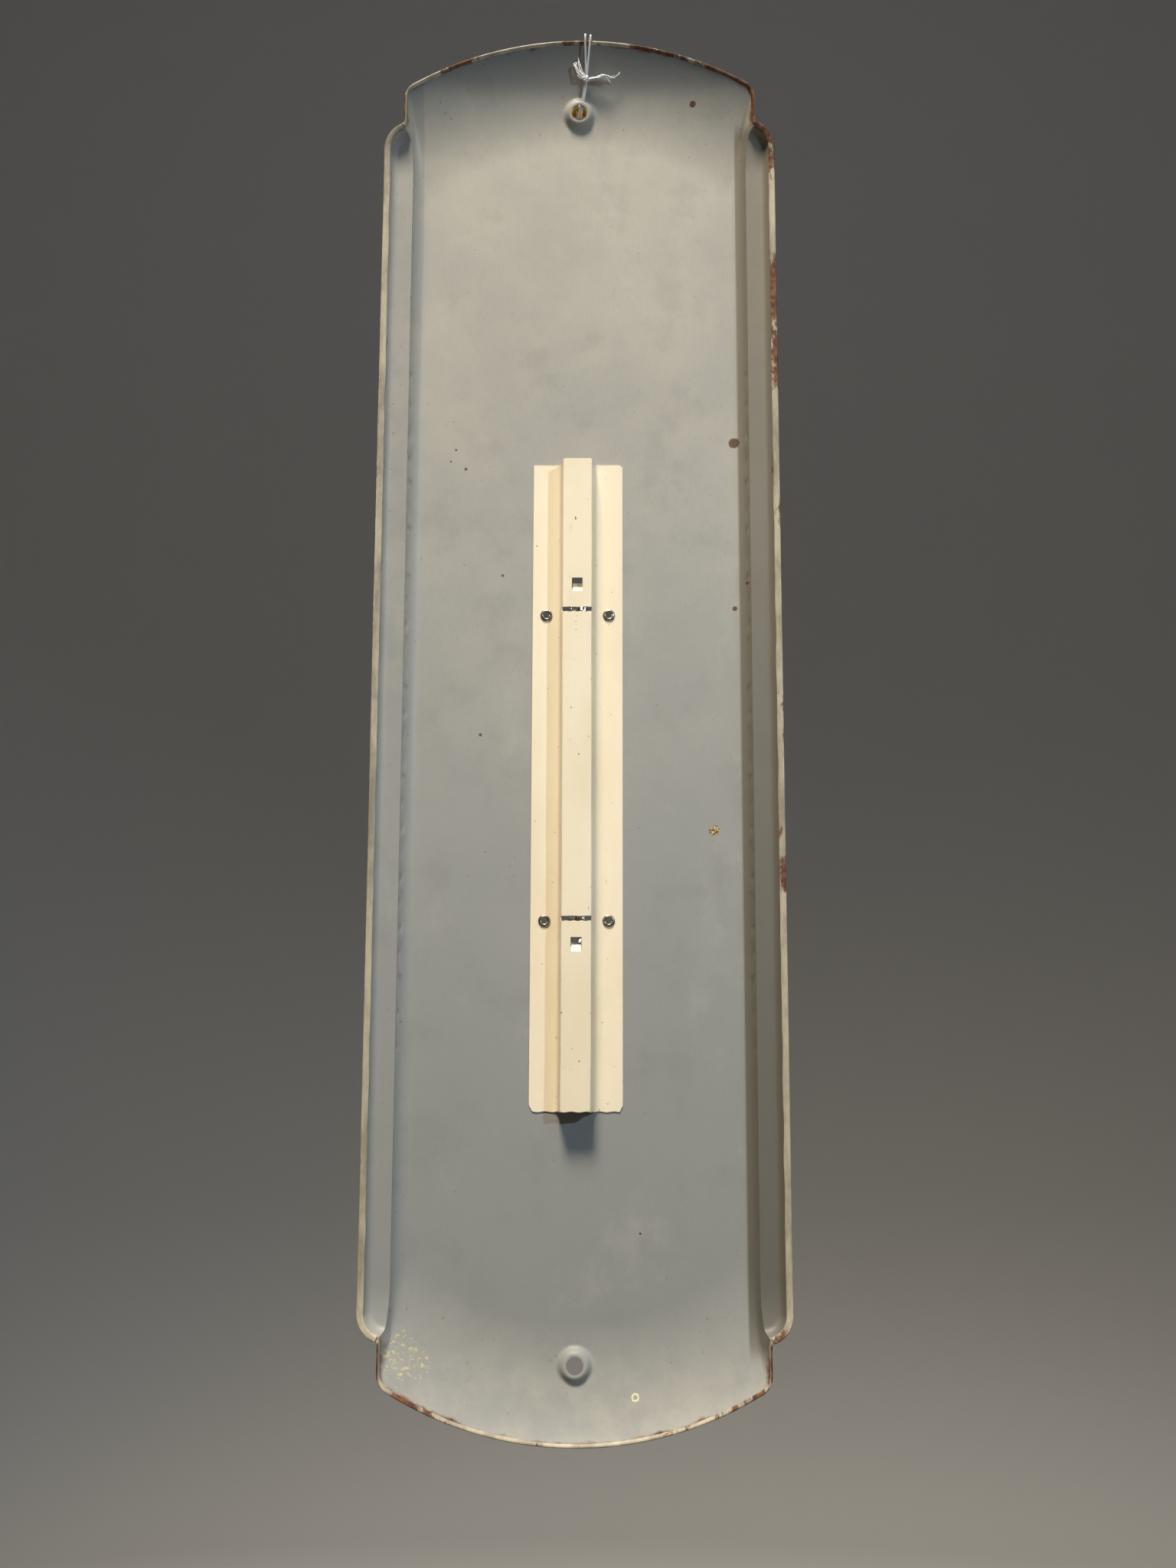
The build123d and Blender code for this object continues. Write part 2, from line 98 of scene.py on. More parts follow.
class Recipe:
    """A material under construction: short calls that add and join shader nodes."""

    def __init__(self, name: str) -> None:
        """Start an empty material with its shader and output.

        Args:
            name: The material's name.
        """
        self.material = bpy.data.materials.new(name)
        self.material.use_nodes = True
        self.tree = self.material.node_tree
        self.tree.nodes.clear()
        self.output = self.tree.nodes.new("ShaderNodeOutputMaterial")
        self.shader = self.tree.nodes.new("ShaderNodeBsdfPrincipled")
        self.tree.links.new(self.shader.outputs[0], self.output.inputs["Surface"])
        self.place = self.tree.nodes.new("ShaderNodeTexCoord").outputs["Object"]

    def link(self, source: Socket, target: Socket) -> None:
        """Join an output to an input."""
        self.tree.links.new(source, target)

    def fixed(self, **values: float | tuple) -> None:
        """Set constants on the shader's own inputs, with underscores for the spaces in their names."""
        for name, value in values.items():
            self.shader.inputs[name.replace("_", " ")].default_value = value

    def stretched(self, scale: tuple[float, float, float]) -> Socket:
        """The object's own coordinates, stretched.

        Args:
            scale: Factor along X, Y and Z.

        Returns:
            The stretched coordinates.
        """
        node = self.tree.nodes.new("ShaderNodeMapping")
        node.inputs["Scale"].default_value = scale
        self.link(self.place, node.inputs["Vector"])
        return node.outputs[0]

    def noise(
        self, scale: float, detail: float = 4.0, rough: float = 0.55, where: Socket | None = None
    ) -> Socket:
        """Cloudy noise.

        Args:
            scale: Clouds per metre.
            detail: Octaves.
            rough: How strong the finer octaves are.
            where: Coordinates to use in place of the object's own.

        Returns:
            The noise's value.
        """
        node = self.tree.nodes.new("ShaderNodeTexNoise")
        node.inputs["Scale"].default_value = scale
        node.inputs["Detail"].default_value = detail
        node.inputs["Roughness"].default_value = rough
        self.link(where or self.place, node.inputs["Vector"])
        return node.outputs[0]

    def ramp(self, value: Socket, low: float, high: float) -> Socket:
        """A soft step from 0 at low to 1 at high."""
        node = self.tree.nodes.new("ShaderNodeMapRange")
        node.interpolation_type = "SMOOTHSTEP"
        node.inputs["From Min"].default_value = low
        node.inputs["From Max"].default_value = high
        self.link(value, node.inputs["Value"])
        return node.outputs[0]

    def math(self, kind: str, one: object, two: object = 0.0, clamp: bool = False) -> Socket:
        """One arithmetic step on sockets or numbers.

        Args:
            kind: The operation's name.
            one: First socket or number.
            two: Second socket or number.
            clamp: Keep the answer between 0 and 1.

        Returns:
            The answer's socket.
        """
        node = self.tree.nodes.new("ShaderNodeMath")
        node.operation = kind
        node.use_clamp = clamp
        for slot, value in zip(node.inputs, (one, two)):
            if isinstance(value, Socket):
                self.link(value, slot)
            else:
                slot.default_value = value
        return node.outputs[0]

    def times(self, one: object, two: object, clamp: bool = False) -> Socket:
        """One value times another."""
        return self.math("MULTIPLY", one, two, clamp)

    def plus(self, one: object, two: object, clamp: bool = False) -> Socket:
        """Two values added."""
        return self.math("ADD", one, two, clamp)

    def minus(self, one: object, two: object, clamp: bool = False) -> Socket:
        """One value less another."""
        return self.math("SUBTRACT", one, two, clamp)

    def axis(self, letter: str) -> Socket:
        """One coordinate of the place on the object, in metres."""
        node = self.tree.nodes.new("ShaderNodeSeparateXYZ")
        self.link(self.place, node.inputs[0])
        return node.outputs[letter]

    def mix(self, share: object, one: object, two: object) -> Socket:
        """Blend two colours.

        Args:
            share: Socket or number, 0 for the first colour and 1 for the second.
            one: First colour or socket.
            two: Second colour or socket.

        Returns:
            The blended colour.
        """
        node = self.tree.nodes.new("ShaderNodeMix")
        node.data_type = "RGBA"
        for slot, value in zip((node.inputs[0], node.inputs[6], node.inputs[7]), (share, one, two)):
            if isinstance(value, Socket):
                self.link(value, slot)
            elif isinstance(value, tuple):
                slot.default_value = (*value, 1.0)
            else:
                slot.default_value = value
        return node.outputs[2]

    def spot(self, centre: tuple[float, float], radius: float, ragged: float = 0.35) -> Socket:
        """Mask of a round stain on the sheet.

        Args:
            centre: X and Z of its middle, in millimetres.
            radius: Its radius, in millimetres.
            ragged: How uneven its edge is, as a share of the radius.

        Returns:
            1 inside the stain and 0 outside it.
        """
        offset = self.tree.nodes.new("ShaderNodeVectorMath")
        offset.operation = "SUBTRACT"
        flat = self.tree.nodes.new("ShaderNodeVectorMath")
        flat.operation = "MULTIPLY"
        flat.inputs[1].default_value = (1, 0, 1)
        self.link(self.place, offset.inputs[0])
        offset.inputs[1].default_value = (centre[0] * MM, 0, centre[1] * MM)
        self.link(offset.outputs[0], flat.inputs[0])
        length = self.tree.nodes.new("ShaderNodeVectorMath")
        length.operation = "LENGTH"
        self.link(flat.outputs[0], length.inputs[0])
        wobble = self.times(self.noise(2.2 / (radius * MM), 3.0), ragged * 2 * radius * MM)
        reach = self.plus(length.outputs["Value"], wobble)
        edge = radius * MM * (1 + ragged)
        return self.minus(1.0, self.ramp(reach, edge * 0.86, edge * 1.1))

    def named(self, attribute: str) -> Socket:
        """A value kept on the mesh's points under a name."""
        node = self.tree.nodes.new("ShaderNodeAttribute")
        node.attribute_name = attribute
        return node.outputs["Fac"]

    def finish(
        self,
        colour: Socket,
        roughness: Socket | None = None,
        height: Socket | None = None,
        depth: float = 0.0001,
        strength: float = 0.5,
    ) -> Material:
        """Join the colour, roughness and relief to the shader.

        Args:
            colour: Base colour.
            roughness: Roughness, or None to keep the shader's constant.
            height: Relief, or None for a smooth surface.
            depth: Depth of the relief in metres.
            strength: Strength of the relief.

        Returns:
            The finished material.
        """
        self.link(colour, self.shader.inputs["Base Color"])
        if roughness is not None:
            self.link(roughness, self.shader.inputs["Roughness"])
        if height is not None:
            bump = self.tree.nodes.new("ShaderNodeBump")
            bump.inputs["Strength"].default_value = strength
            bump.inputs["Distance"].default_value = depth
            self.link(height, bump.inputs["Height"])
            self.link(bump.outputs[0], self.shader.inputs["Normal"])
        return self.material


@dataclass(frozen=True)
class Stain:
    """A round stain or chip on the wall side of the sheet: its middle and radius in millimetres."""

    x: float
    z: float
    radius: float
    ragged: float = 0.3

    def mask(self, recipe: Recipe, share: float = 1.0) -> Socket:
        """Where the stain lies, or where its inner share lies."""
        return recipe.spot((self.x, self.z), self.radius * share, self.ragged)


@dataclass(frozen=True)
class GreyBackPaint:
    """Old grey paint on the wall side: mottled, a little blotchy, with stains, chips and rust at the rim, and
    with painted light and shade: lighter and warmer towards the top and at the foot, darker on the arch's top
    curl and on both wings.
    """

    # Painted light: cool is the colour at the bottom and warm the colour at the top of the painted fall-off
    # of light down the sheet; warm is also the painted light on the foot.
    warm: tuple = (0.435, 0.412, 0.355)
    cool: tuple = (0.298, 0.302, 0.285)
    # Painted shade: olive and deep olive colour the shade painted on the -X wing, slate the shade painted on
    # the +X wing, and the next colour the shade painted on the arch's top curl.
    olive: tuple = (0.190, 0.170, 0.130)
    deep_olive: tuple = (0.120, 0.112, 0.086)
    slate: tuple = (0.185, 0.195, 0.195)
    dark_crown: tuple = (0.130, 0.130, 0.125)
    dark: tuple = (0.215, 0.215, 0.200)
    pale: tuple = (0.560, 0.540, 0.480)
    rust: tuple = (0.095, 0.038, 0.018)
    rust_pale: tuple = (0.240, 0.105, 0.045)
    gold: tuple = (0.620, 0.520, 0.230)
    ring: tuple = (0.80, 0.74, 0.48)
    dark_spots: tuple = (
        Stain(-77.5, -177.0, 2.7, 0.15),
        Stain(-58.0, 3.5, 1.6),
        Stain(37.0, -245.0, 0.7),
        Stain(56.0, -190.0, 0.8),
        Stain(61.0, -180.0, 0.6),
        Stain(63.5, -186.0, 0.5),
        Stain(47.0, -325.0, 0.8),
        Stain(-77.0, -262.0, 1.2),
        Stain(-83.0, -250.0, 0.8),
        Stain(-30.0, -560.0, 0.6),
    )
    rust_spots: tuple = (Stain(-66.0, -372.0, 2.6, 0.5),)
    pale_rings: tuple = (Stain(-27.5, -631.5, 1.8, 0.5),)

    def make(self) -> Material:
        """Build the finished material."""
        r = Recipe("grey_back_paint")
        # Painted light: the sheet is painted lighter and warmer towards the top, standing in for the overhead
        # light falling off down it, broken up by cloudy noise.
        height = r.ramp(r.axis("Z"), -0.52, -0.05)
        cloud = r.ramp(r.noise(16.0, 5.0, 0.6), 0.36, 0.64)
        top_light = r.times(height, r.plus(r.times(cloud, 0.45), 0.6), clamp=True)
        colour = r.mix(top_light, self.cool, self.warm)
        blotch = r.ramp(r.noise(34.0, 6.0, 0.62), 0.50, 0.68)
        colour = r.mix(r.times(blotch, 0.22), colour, self.dark)
        bloom = r.ramp(r.noise(21.0, 6.0, 0.7, r.stretched((1.0, 1.0, 0.7))), 0.55, 0.75)
        colour = r.mix(r.times(bloom, 0.20), colour, self.pale)
        weave = r.noise(900.0, 2.0, 0.5, r.stretched((1.0, 1.0, 0.25)))
        colour = r.mix(r.times(r.ramp(weave, 0.42, 0.75), 0.10), colour, self.dark)
        # Painted shade: the -X wing is painted darker and olive along its length, deepest towards the bottom.
        beside = r.times(r.ramp(r.axis("Z"), -0.618, -0.606), r.ramp(r.axis("Z"), -0.006, -0.016))
        olive_wing_shade = r.times(r.ramp(r.axis("X"), -0.0787, -0.0800), r.times(beside, 0.85))
        colour = r.mix(olive_wing_shade, colour, r.mix(height, self.deep_olive, self.olive))
        # Painted shade: the +X side is painted a little darker and slate-blue, more so towards the top.
        slate_wing_shade = r.times(r.ramp(r.axis("X"), 0.0787, 0.0800), r.times(height, 0.35))
        colour = r.mix(slate_wing_shade, colour, self.slate)
        # Painted shade: the arch's top curl is painted darker where it turns down, away from the overhead
        # light.
        painted_crown_shade = r.times(r.ramp(r.axis("Z"), 0.004, 0.017), 0.45)
        colour = r.mix(painted_crown_shade, colour, self.dark_crown)
        speck = r.ramp(r.noise(420.0, 2.0, 0.4), 0.72, 0.78)
        colour = r.mix(r.times(speck, 0.55), colour, self.rust_pale)
        # Painted light: warmer, lighter patches on the lower curl, where it turns up towards the overhead
        # light.
        foot = r.minus(1.0, r.ramp(r.axis("Z"), -0.636, -0.594))
        foot_light = r.ramp(r.noise(60.0, 5.0, 0.65), 0.30, 0.7)
        colour = r.mix(r.times(foot, r.times(foot_light, 0.5)), colour, self.warm)
        flake = r.times(r.ramp(r.noise(700.0, 3.0, 0.6), 0.58, 0.62), r.spot((78.0, -614.0), 12.0, 0.6))
        colour = r.mix(r.times(flake, 0.8), colour, self.gold)
        rim = r.named("rim")
        worn = r.ramp(r.plus(rim, r.times(r.noise(90.0, 5.0, 0.7), 0.9)), 1.12, 1.38)
        rust = r.mix(r.ramp(r.noise(260.0, 4.0, 0.6), 0.4, 0.62), self.rust, self.rust_pale)
        colour = r.mix(worn, colour, rust)
        for stain in self.dark_spots:
            colour = r.mix(r.times(stain.mask(r), 0.9), colour, self.rust)
        for stain in self.rust_spots:
            patch = r.mix(r.ramp(r.noise(900.0, 2.0), 0.42, 0.6), self.rust, self.gold)
            colour = r.mix(stain.mask(r), colour, patch)
        for stain in self.pale_rings:
            ring = r.minus(stain.mask(r), stain.mask(r, 0.6), clamp=True)
            colour = r.mix(ring, colour, self.ring)
        r.fixed(Metallic=0.0, IOR=1.45, Specular_IOR_Level=0.42)
        gloss = r.plus(r.times(r.noise(28.0, 4.0), 0.22), 0.36)
        gloss = r.plus(gloss, r.times(worn, 0.35), clamp=True)
        fine = r.plus(r.times(r.noise(650.0, 3.0, 0.6), 0.5), r.times(worn, -0.6))
        return r.finish(colour, gloss, fine, 0.00012, 0.35)


@dataclass(frozen=True)
class DialEnamel:
    """Glossy cream enamel on the dial side, a little yellowed, with rust creeping in from the rim."""

    cream: tuple = (0.800, 0.735, 0.570)
    aged: tuple = (0.690, 0.600, 0.420)
    rust: tuple = (0.130, 0.050, 0.022)

    def make(self) -> Material:
        """Build the finished material."""
        r = Recipe("dial_enamel")
        cloud = r.ramp(r.noise(9.0, 5.0, 0.6), 0.35, 0.7)
        colour = r.mix(r.times(cloud, 0.5), self.cream, self.aged)
        rim = r.named("rim")
        worn = r.ramp(r.plus(rim, r.times(r.noise(120.0, 5.0, 0.7), 0.9)), 1.18, 1.36)
        colour = r.mix(worn, colour, self.rust)
        chip = r.ramp(r.noise(260.0, 3.0, 0.5), 0.745, 0.765)
        colour = r.mix(chip, colour, self.rust)
        r.fixed(IOR=1.5, Coat_Weight=0.35, Coat_Roughness=0.12)
        gloss = r.plus(r.times(worn, 0.45), 0.24, clamp=True)
        return r.finish(colour, gloss, r.minus(r.noise(380.0, 3.0), worn), 0.0001, 0.2)


@dataclass(frozen=True)
class HemPaint:
    """Cream enamel on the folded edge, grimy, scraped and rusted in long patches."""

    cream: tuple = (0.500, 0.440, 0.320)
    grime: tuple = (0.190, 0.165, 0.125)
    rust: tuple = (0.085, 0.032, 0.016)
    rust_pale: tuple = (0.200, 0.085, 0.040)

    def make(self) -> Material:
        """Build the finished material."""
        r = Recipe("hem_paint")
        streak = r.stretched((1.0, 1.0, 0.35))
        grime = r.ramp(r.noise(75.0, 6.0, 0.7, streak), 0.38, 0.66)
        colour = r.mix(r.times(grime, 0.75), self.cream, self.grime)
        rust = r.mix(r.ramp(r.noise(300.0, 4.0), 0.4, 0.62), self.rust, self.rust_pale)
        patches = r.noise(26.0, 7.0, 0.72, streak)
        side = r.ramp(r.axis("X"), 0.02, -0.09)
        crown = r.ramp(r.axis("Z"), -0.03, 0.0)
        lean = r.plus(r.times(side, 0.05), r.times(crown, 0.05))
        worn = r.ramp(r.plus(patches, lean), 0.555, 0.60)
        colour = r.mix(worn, colour, rust)
        r.fixed(IOR=1.45)
        gloss = r.plus(r.times(worn, 0.35), 0.42, clamp=True)
        return r.finish(colour, gloss, r.minus(r.noise(520.0, 4.0), worn), 0.00014, 0.5)


@dataclass(frozen=True)
class CreamCarrierPaint:
    """Cream paint on the tube carrier: even, faintly yellowed, with specks and scuffs."""

    cream: tuple = (0.900, 0.800, 0.600)
    tan: tuple = (0.700, 0.540, 0.320)
    speck: tuple = (0.150, 0.090, 0.050)

    def make(self) -> Material:
        """Build the finished material."""
        r = Recipe("cream_carrier_paint")
        cloud = r.ramp(r.noise(30.0, 6.0, 0.6, r.stretched((1.0, 1.0, 0.4))), 0.35, 0.7)
        colour = r.mix(r.times(cloud, 0.30), self.cream, self.tan)
        speck = r.ramp(r.noise(520.0, 2.0, 0.5), 0.735, 0.76)
        scuff = r.ramp(r.noise(150.0, 5.0, 0.75, r.stretched((1.0, 1.0, 0.2))), 0.66, 0.72)
        colour = r.mix(r.times(speck, 0.8), colour, self.speck)
        colour = r.mix(r.times(scuff, 0.35), colour, self.tan)
        r.fixed(IOR=1.45, Specular_IOR_Level=0.4)
        gloss = r.plus(r.times(cloud, 0.15), 0.38)
        return r.finish(colour, gloss, r.noise(480.0, 4.0, 0.6), 0.00008, 0.3)


@dataclass(frozen=True)
class WornMetal:
    """A bare metal with tarnish in patches."""

    name: str
    bright: tuple
    tarnish: tuple
    roughness: float
    amount: float
    grain: float = 900.0

    def make(self) -> Material:
        """Build the finished material."""
        r = Recipe(self.name)
        patch = r.ramp(r.noise(self.grain, 4.0, 0.65), 0.38, 0.66)
        colour = r.mix(r.times(patch, self.amount), self.bright, self.tarnish)
        r.fixed(Metallic=1.0)
        gloss = r.plus(r.times(patch, 0.22), self.roughness, clamp=True)
        return r.finish(colour, gloss, r.noise(self.grain * 2.0, 3.0), 0.00004, 0.25)


BRONZED_EYELET = WornMetal("bronzed_eyelet", (0.50, 0.44, 0.36), (0.07, 0.05, 0.035), 0.26, 0.75, 700.0)
TINNED_CLIP = WornMetal("tinned_clip", (0.60, 0.58, 0.54), (0.28, 0.25, 0.21), 0.30, 0.6, 600.0)
BRIGHT_BRASS = WornMetal("bright_brass", (0.86, 0.62, 0.16), (0.30, 0.17, 0.04), 0.16, 0.45, 420.0)


@dataclass(frozen=True)
class ClearGlass:
    """Clear drawn glass with faint draw lines."""

    tint: tuple = (0.93, 0.96, 0.95)

    def make(self) -> Material:
        """Build the finished material."""
        r = Recipe("clear_glass")
        lines = r.noise(500.0, 2.0, 0.5, r.stretched((1.0, 1.0, 0.02)))
        colour = r.mix(r.times(lines, 0.1), self.tint, (0.85, 0.90, 0.89))
        r.fixed(IOR=1.47, Transmission_Weight=1.0, Roughness=0.02)
        return r.finish(colour, None, lines, 0.00002, 0.15)


@dataclass(frozen=True)
class RedSpirit:
    """Red dyed spirit seen through glass."""

    red: tuple = (0.560, 0.012, 0.010)
    deep: tuple = (0.300, 0.004, 0.006)

    def make(self) -> Material:
        """Build the finished material."""
        r = Recipe("red_spirit")
        colour = r.mix(r.noise(150.0, 3.0), self.red, self.deep)
        r.fixed(IOR=1.36, Roughness=0.08, Coat_Weight=0.6, Coat_Roughness=0.03)
        return r.finish(colour)


@dataclass(frozen=True)
class WhiteString:
    """White twisted string: soft fibre sheen, slightly grey in the lay of its strands."""

    white: tuple = (0.860, 0.850, 0.840)
    shade: tuple = (0.560, 0.550, 0.540)

    def make(self) -> Material:
        """Build the finished material."""
        r = Recipe("white_string")
        fibre = r.noise(2600.0, 3.0, 0.6)
        colour = r.mix(r.times(r.ramp(fibre, 0.45, 0.75), 0.5), self.white, self.shade)
        r.fixed(Roughness=0.72, Sheen_Weight=0.4, Sheen_Roughness=0.4, Subsurface_Weight=0.15)
        r.shader.inputs["Subsurface Radius"].default_value = (0.001, 0.001, 0.001)
        return r.finish(colour, None, fibre, 0.00008, 0.6)


@dataclass(frozen=True)
class ScaleInk:
    """Dark printed ink of the scale, slightly worn."""

    ink: tuple = (0.020, 0.026, 0.050)
    worn: tuple = (0.110, 0.110, 0.120)

    def make(self) -> Material:
        """Build the finished material."""
        r = Recipe("scale_ink")
        colour = r.mix(r.ramp(r.noise(420.0, 4.0, 0.7), 0.5, 0.7), self.ink, self.worn)
        r.fixed(Roughness=0.35, Coat_Weight=0.3, Coat_Roughness=0.15)
        return r.finish(colour)


@dataclass(frozen=True)
class PaleStage:
    """Plain pale paper for the floor and the backdrop."""

    tone: tuple = (0.46, 0.46, 0.455)

    def make(self) -> Material:
        """Build the finished material."""
        r = Recipe("pale_stage")
        colour = r.mix(r.times(r.noise(3.0, 2.0), 0.05), self.tone, (0.40, 0.40, 0.395))
        r.fixed(Roughness=0.9)
        return r.finish(colour)


# --------------------------------------------------------------------------- mesh helpers


def new_piece(name: str, verts: list, faces: list, smooth: bool = True) -> Piece:
    """Make an object from points in metres.

    Args:
        name: The piece's name.
        verts: Points.
        faces: Point indices of each face.
        smooth: Shade it smooth.

    Returns:
        The new object, linked to the scene.
    """
    mesh = bpy.data.meshes.new(name)
    mesh.from_pydata([tuple(v) for v in verts], [], faces)
    mesh.validate()
    if smooth:
        mesh.shade_smooth()
    piece = bpy.data.objects.new(name, mesh)
    bpy.context.scene.collection.objects.link(piece)
    return piece


def tidy_normals(piece: Piece, sharp_angle: float | None = None) -> None:
    """Turn the faces outwards and mark creases.

    Args:
        piece: A mesh object.
        sharp_angle: Crease angle in degrees, or None for no creases.
    """
    work = bmesh.new()
    work.from_mesh(piece.data)
    bmesh.ops.recalc_face_normals(work, faces=work.faces)
    work.to_mesh(piece.data)
    work.free()
    if sharp_angle is not None:
        piece.data.set_sharp_from_angle(angle=math.radians(sharp_angle))


def tube_mesh(path: np.ndarray, radius: np.ndarray, sides: int, lay: float, groove: float) -> tuple:
    """A round tube along points, with a twisted groove, closed by blunt ends.

    Args:
        path: Points in metres, one row each.
        radius: Radius at each point.
        sides: Points round the tube.
        lay: Length of one twist in metres.
        groove: Depth of the groove between strands, as a share of the radius.

    Returns:
        Points and faces.
    """
    tangents = np.gradient(path, axis=0)
    tangents /= np.linalg.norm(tangents, axis=1)[:, None]
    steps = np.linalg.norm(np.diff(path, axis=0), axis=1)
    run = np.concatenate([[0.0], np.cumsum(steps)])
    normal = Vector(tangents[0]).orthogonal().normalized()
    verts: list = []
    faces: list = []
    for i, (point, tangent) in enumerate(zip(path, tangents)):
        axis = Vector(tangent)
        normal = (normal - axis * normal.dot(axis)).normalized()
        side = axis.cross(normal)
        for k in range(sides):
            angle = 2 * math.pi * k / sides
            twist = angle - 2 * math.pi * run[i] / lay
            r = radius[i] * (1 - groove * (1 - abs(math.sin(1.5 * twist))))
            verts.append(Vector(point) + (normal * math.cos(angle) + side * math.sin(angle)) * r)
    for i in range(len(path) - 1):
        for k in range(sides):
            a, b = i * sides + k, i * sides + (k + 1) % sides
            faces.append((a, b, b + sides, a + sides))
    for row, sign in ((0, -1), (len(path) - 1, 1)):
        tip = len(verts)
        verts.append(Vector(path[row]) + Vector(tangents[row]) * sign * radius[row] * 0.5)
        for k in range(sides):
            a, b = row * sides + k, row * sides + (k + 1) % sides
            faces.append((a, b, tip) if sign > 0 else (b, a, tip))
    return verts, faces


def spline_points(name: str, route: list) -> np.ndarray:
    """Points along the smooth line that a route's points control.

    Args:
        name: Name for the working curve.
        route: Control points in millimetres.

    Returns:
        Points in metres, one row each.
    """
    curve = bpy.data.curves.new(name, "CURVE")
    curve.dimensions = "3D"
    curve.resolution_u = 12
    spline = curve.splines.new("NURBS")
    spline.points.add(len(route) - 1)
    for point, place in zip(spline.points, route):
        point.co = (*(c * MM for c in place), 1.0)
    spline.order_u = 3
    spline.use_endpoint_u = True
    holder = bpy.data.objects.new(name, curve)
    bpy.context.scene.collection.objects.link(holder)
    bpy.context.view_layer.update()
    line = bpy.data.meshes.new_from_object(holder)
    points = np.array([v.co for v in line.vertices], float)
    bpy.data.objects.remove(holder)
    bpy.data.meshes.remove(line)
    keep = [0] + [i for i in range(1, len(points)) if np.linalg.norm(points[i] - points[i - 1]) > 1e-6]
    return points[keep]


def put_on(piece: Piece, body: str, slot: str, material: Material, *nodes: str) -> None:
    """Give a piece its material and its body, and hide the nodes that it stands for."""
    piece.data.materials.clear()
    piece.data.materials.append(material)
    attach(piece, body)
    if nodes:
        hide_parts(*nodes)


# --------------------------------------------------------------------------- pressed sheet


@dataclass
class SheetBlank:
    """A flat blank given by closed loops and filled with points, ready to be pressed into shape."""

    outline: np.ndarray
    holes: list = field(default_factory=list)
    creases: list = field(default_factory=list)
    inner: np.ndarray = field(default_factory=lambda: np.zeros((0, 2)))
    clear: float = 0.45

    def cut(self) -> tuple[np.ndarray, list]:
        """Divide the blank into triangles.

        Returns:
            The points of the blank, and the triangles between them.
        """
        loops = [self.outline, *self.holes]
        chains = [*loops, *self.creases]
        line = np.vstack(chains)
        keep = self.inner
        if len(keep):
            keep = keep[(spread(keep, line, 400) > self.clear) & inside(keep, self.outline)]
            for hole in self.holes:
                keep = keep[~inside(keep, hole)]
        edges, start = [], 0
        for number, chain in enumerate(chains):
            count = len(chain)
            last = count if number < len(loops) else count - 1
            edges += [(start + i, start + (i + 1) % count) for i in range(last)]
            start += count
        points = [Vector(p) for p in np.vstack([line, keep])]
        verts, _, faces, *_ = geometry.delaunay_2d_cdt(points, edges, [], 0, 1e-5)
        flat = np.array(verts, float)
        middles = np.array([flat[list(f)].mean(0) for f in faces])
        good = inside(middles, self.outline)
        for hole in self.holes:
            good &= ~inside(middles, hole)
        return flat, [tuple(f) for f, ok in zip(faces, good) if ok]


def inside(points: np.ndarray, loop: np.ndarray) -> np.ndarray:
    """Which points lie inside a closed loop.

    Args:
        points: Points, one row each.
        loop: The loop's corners in order.

    Returns:
        True for each point inside.
    """
    x, y = points[:, 0], points[:, 1]
    found = np.zeros(len(points), bool)
    for (ax, ay), (bx, by) in zip(loop, np.roll(loop, -1, axis=0)):
        if ay == by:
            continue
        crosses = ((ay > y) != (by > y)) & (x < (bx - ax) * (y - ay) / (by - ay) + ax)
        found ^= crosses
    return found


def square_to(loop: np.ndarray) -> np.ndarray:
    """Unit directions square to a closed loop at each of its points."""
    tangent = np.roll(loop, -1, axis=0) - np.roll(loop, 1, axis=0)
    across = np.stack([tangent[:, 1], -tangent[:, 0]], 1)
    return across / np.linalg.norm(across, axis=1)[:, None]


def inward_of(loop: np.ndarray) -> np.ndarray:
    """Unit directions square to a closed loop, all pointing into it."""
    across = square_to(loop)
    return across * np.where(inside(loop + across * PROBE, loop), 1.0, -1.0)[:, None]


def spread(points: np.ndarray, others: np.ndarray, batch: int) -> np.ndarray:
    """Distance from each point to the nearest of some others, worked out a batch at a time."""
    near = np.full(len(points), np.inf)
    for start in range(0, len(others), batch):
        part = others[start : start + batch]
        near = np.minimum(near, np.linalg.norm(points[:, None] - part[None], axis=2).min(1))
    return near


def strip_faces(rows: int, count: int) -> list:
    """Faces of a strip made of equal rings, closed at both ends.

    Args:
        rows: How many rings.
        count: Points in one ring.

    Returns:
        The faces.
    """
    faces = []
    for row in range(rows - 1):
        for k in range(count):
            a, b = row * count + k, row * count + (k + 1) % count
            faces.append((a, b, b + count, a + count))
    faces.append(tuple(range(count)))
    faces.append(tuple(reversed(range((rows - 1) * count, rows * count))))
    return faces


def on_circle(x: float, z: float, radius: float, angle: float) -> tuple[float, float]:
    """A point on a circle, its angle measured from straight up."""
    return x + radius * math.sin(angle), z + radius * math.cos(angle)


def circle(x: float, z: float, radius: float, count: int = 48) -> np.ndarray:
    """Points round a circle."""
    turn = np.linspace(0, 2 * math.pi, count, endpoint=False)
    return np.stack([x + radius * np.cos(turn), z + radius * np.sin(turn)], 1)


def shell(back: np.ndarray, front: np.ndarray, faces: list) -> tuple[list, list, list]:
    """Close two layers of a sheet into one solid shell.

    Args:
        back: Points of the wall side.
        front: Points of the dial side, in the same order.
        faces: Triangles of one layer.

    Returns:
        All points, all faces, and the side that each face lies on.
    """
    count = len(back)
    verts = list(back) + list(front)
    border: dict = {}
    for face in faces:
        for a, b in zip(face, face[1:] + face[:1]):
            if (b, a) in border:
                border.pop((b, a))
            else:
                border[(a, b)] = True
    made = list(faces) + [tuple(count + i for i in reversed(f)) for f in faces]
    made += [(b, a, a + count, b + count) for a, b in border]
    sides = [Side.WALL] * len(faces) + [Side.DIAL] * len(faces) + [Side.WALL] * len(border)
    return verts, made, sides


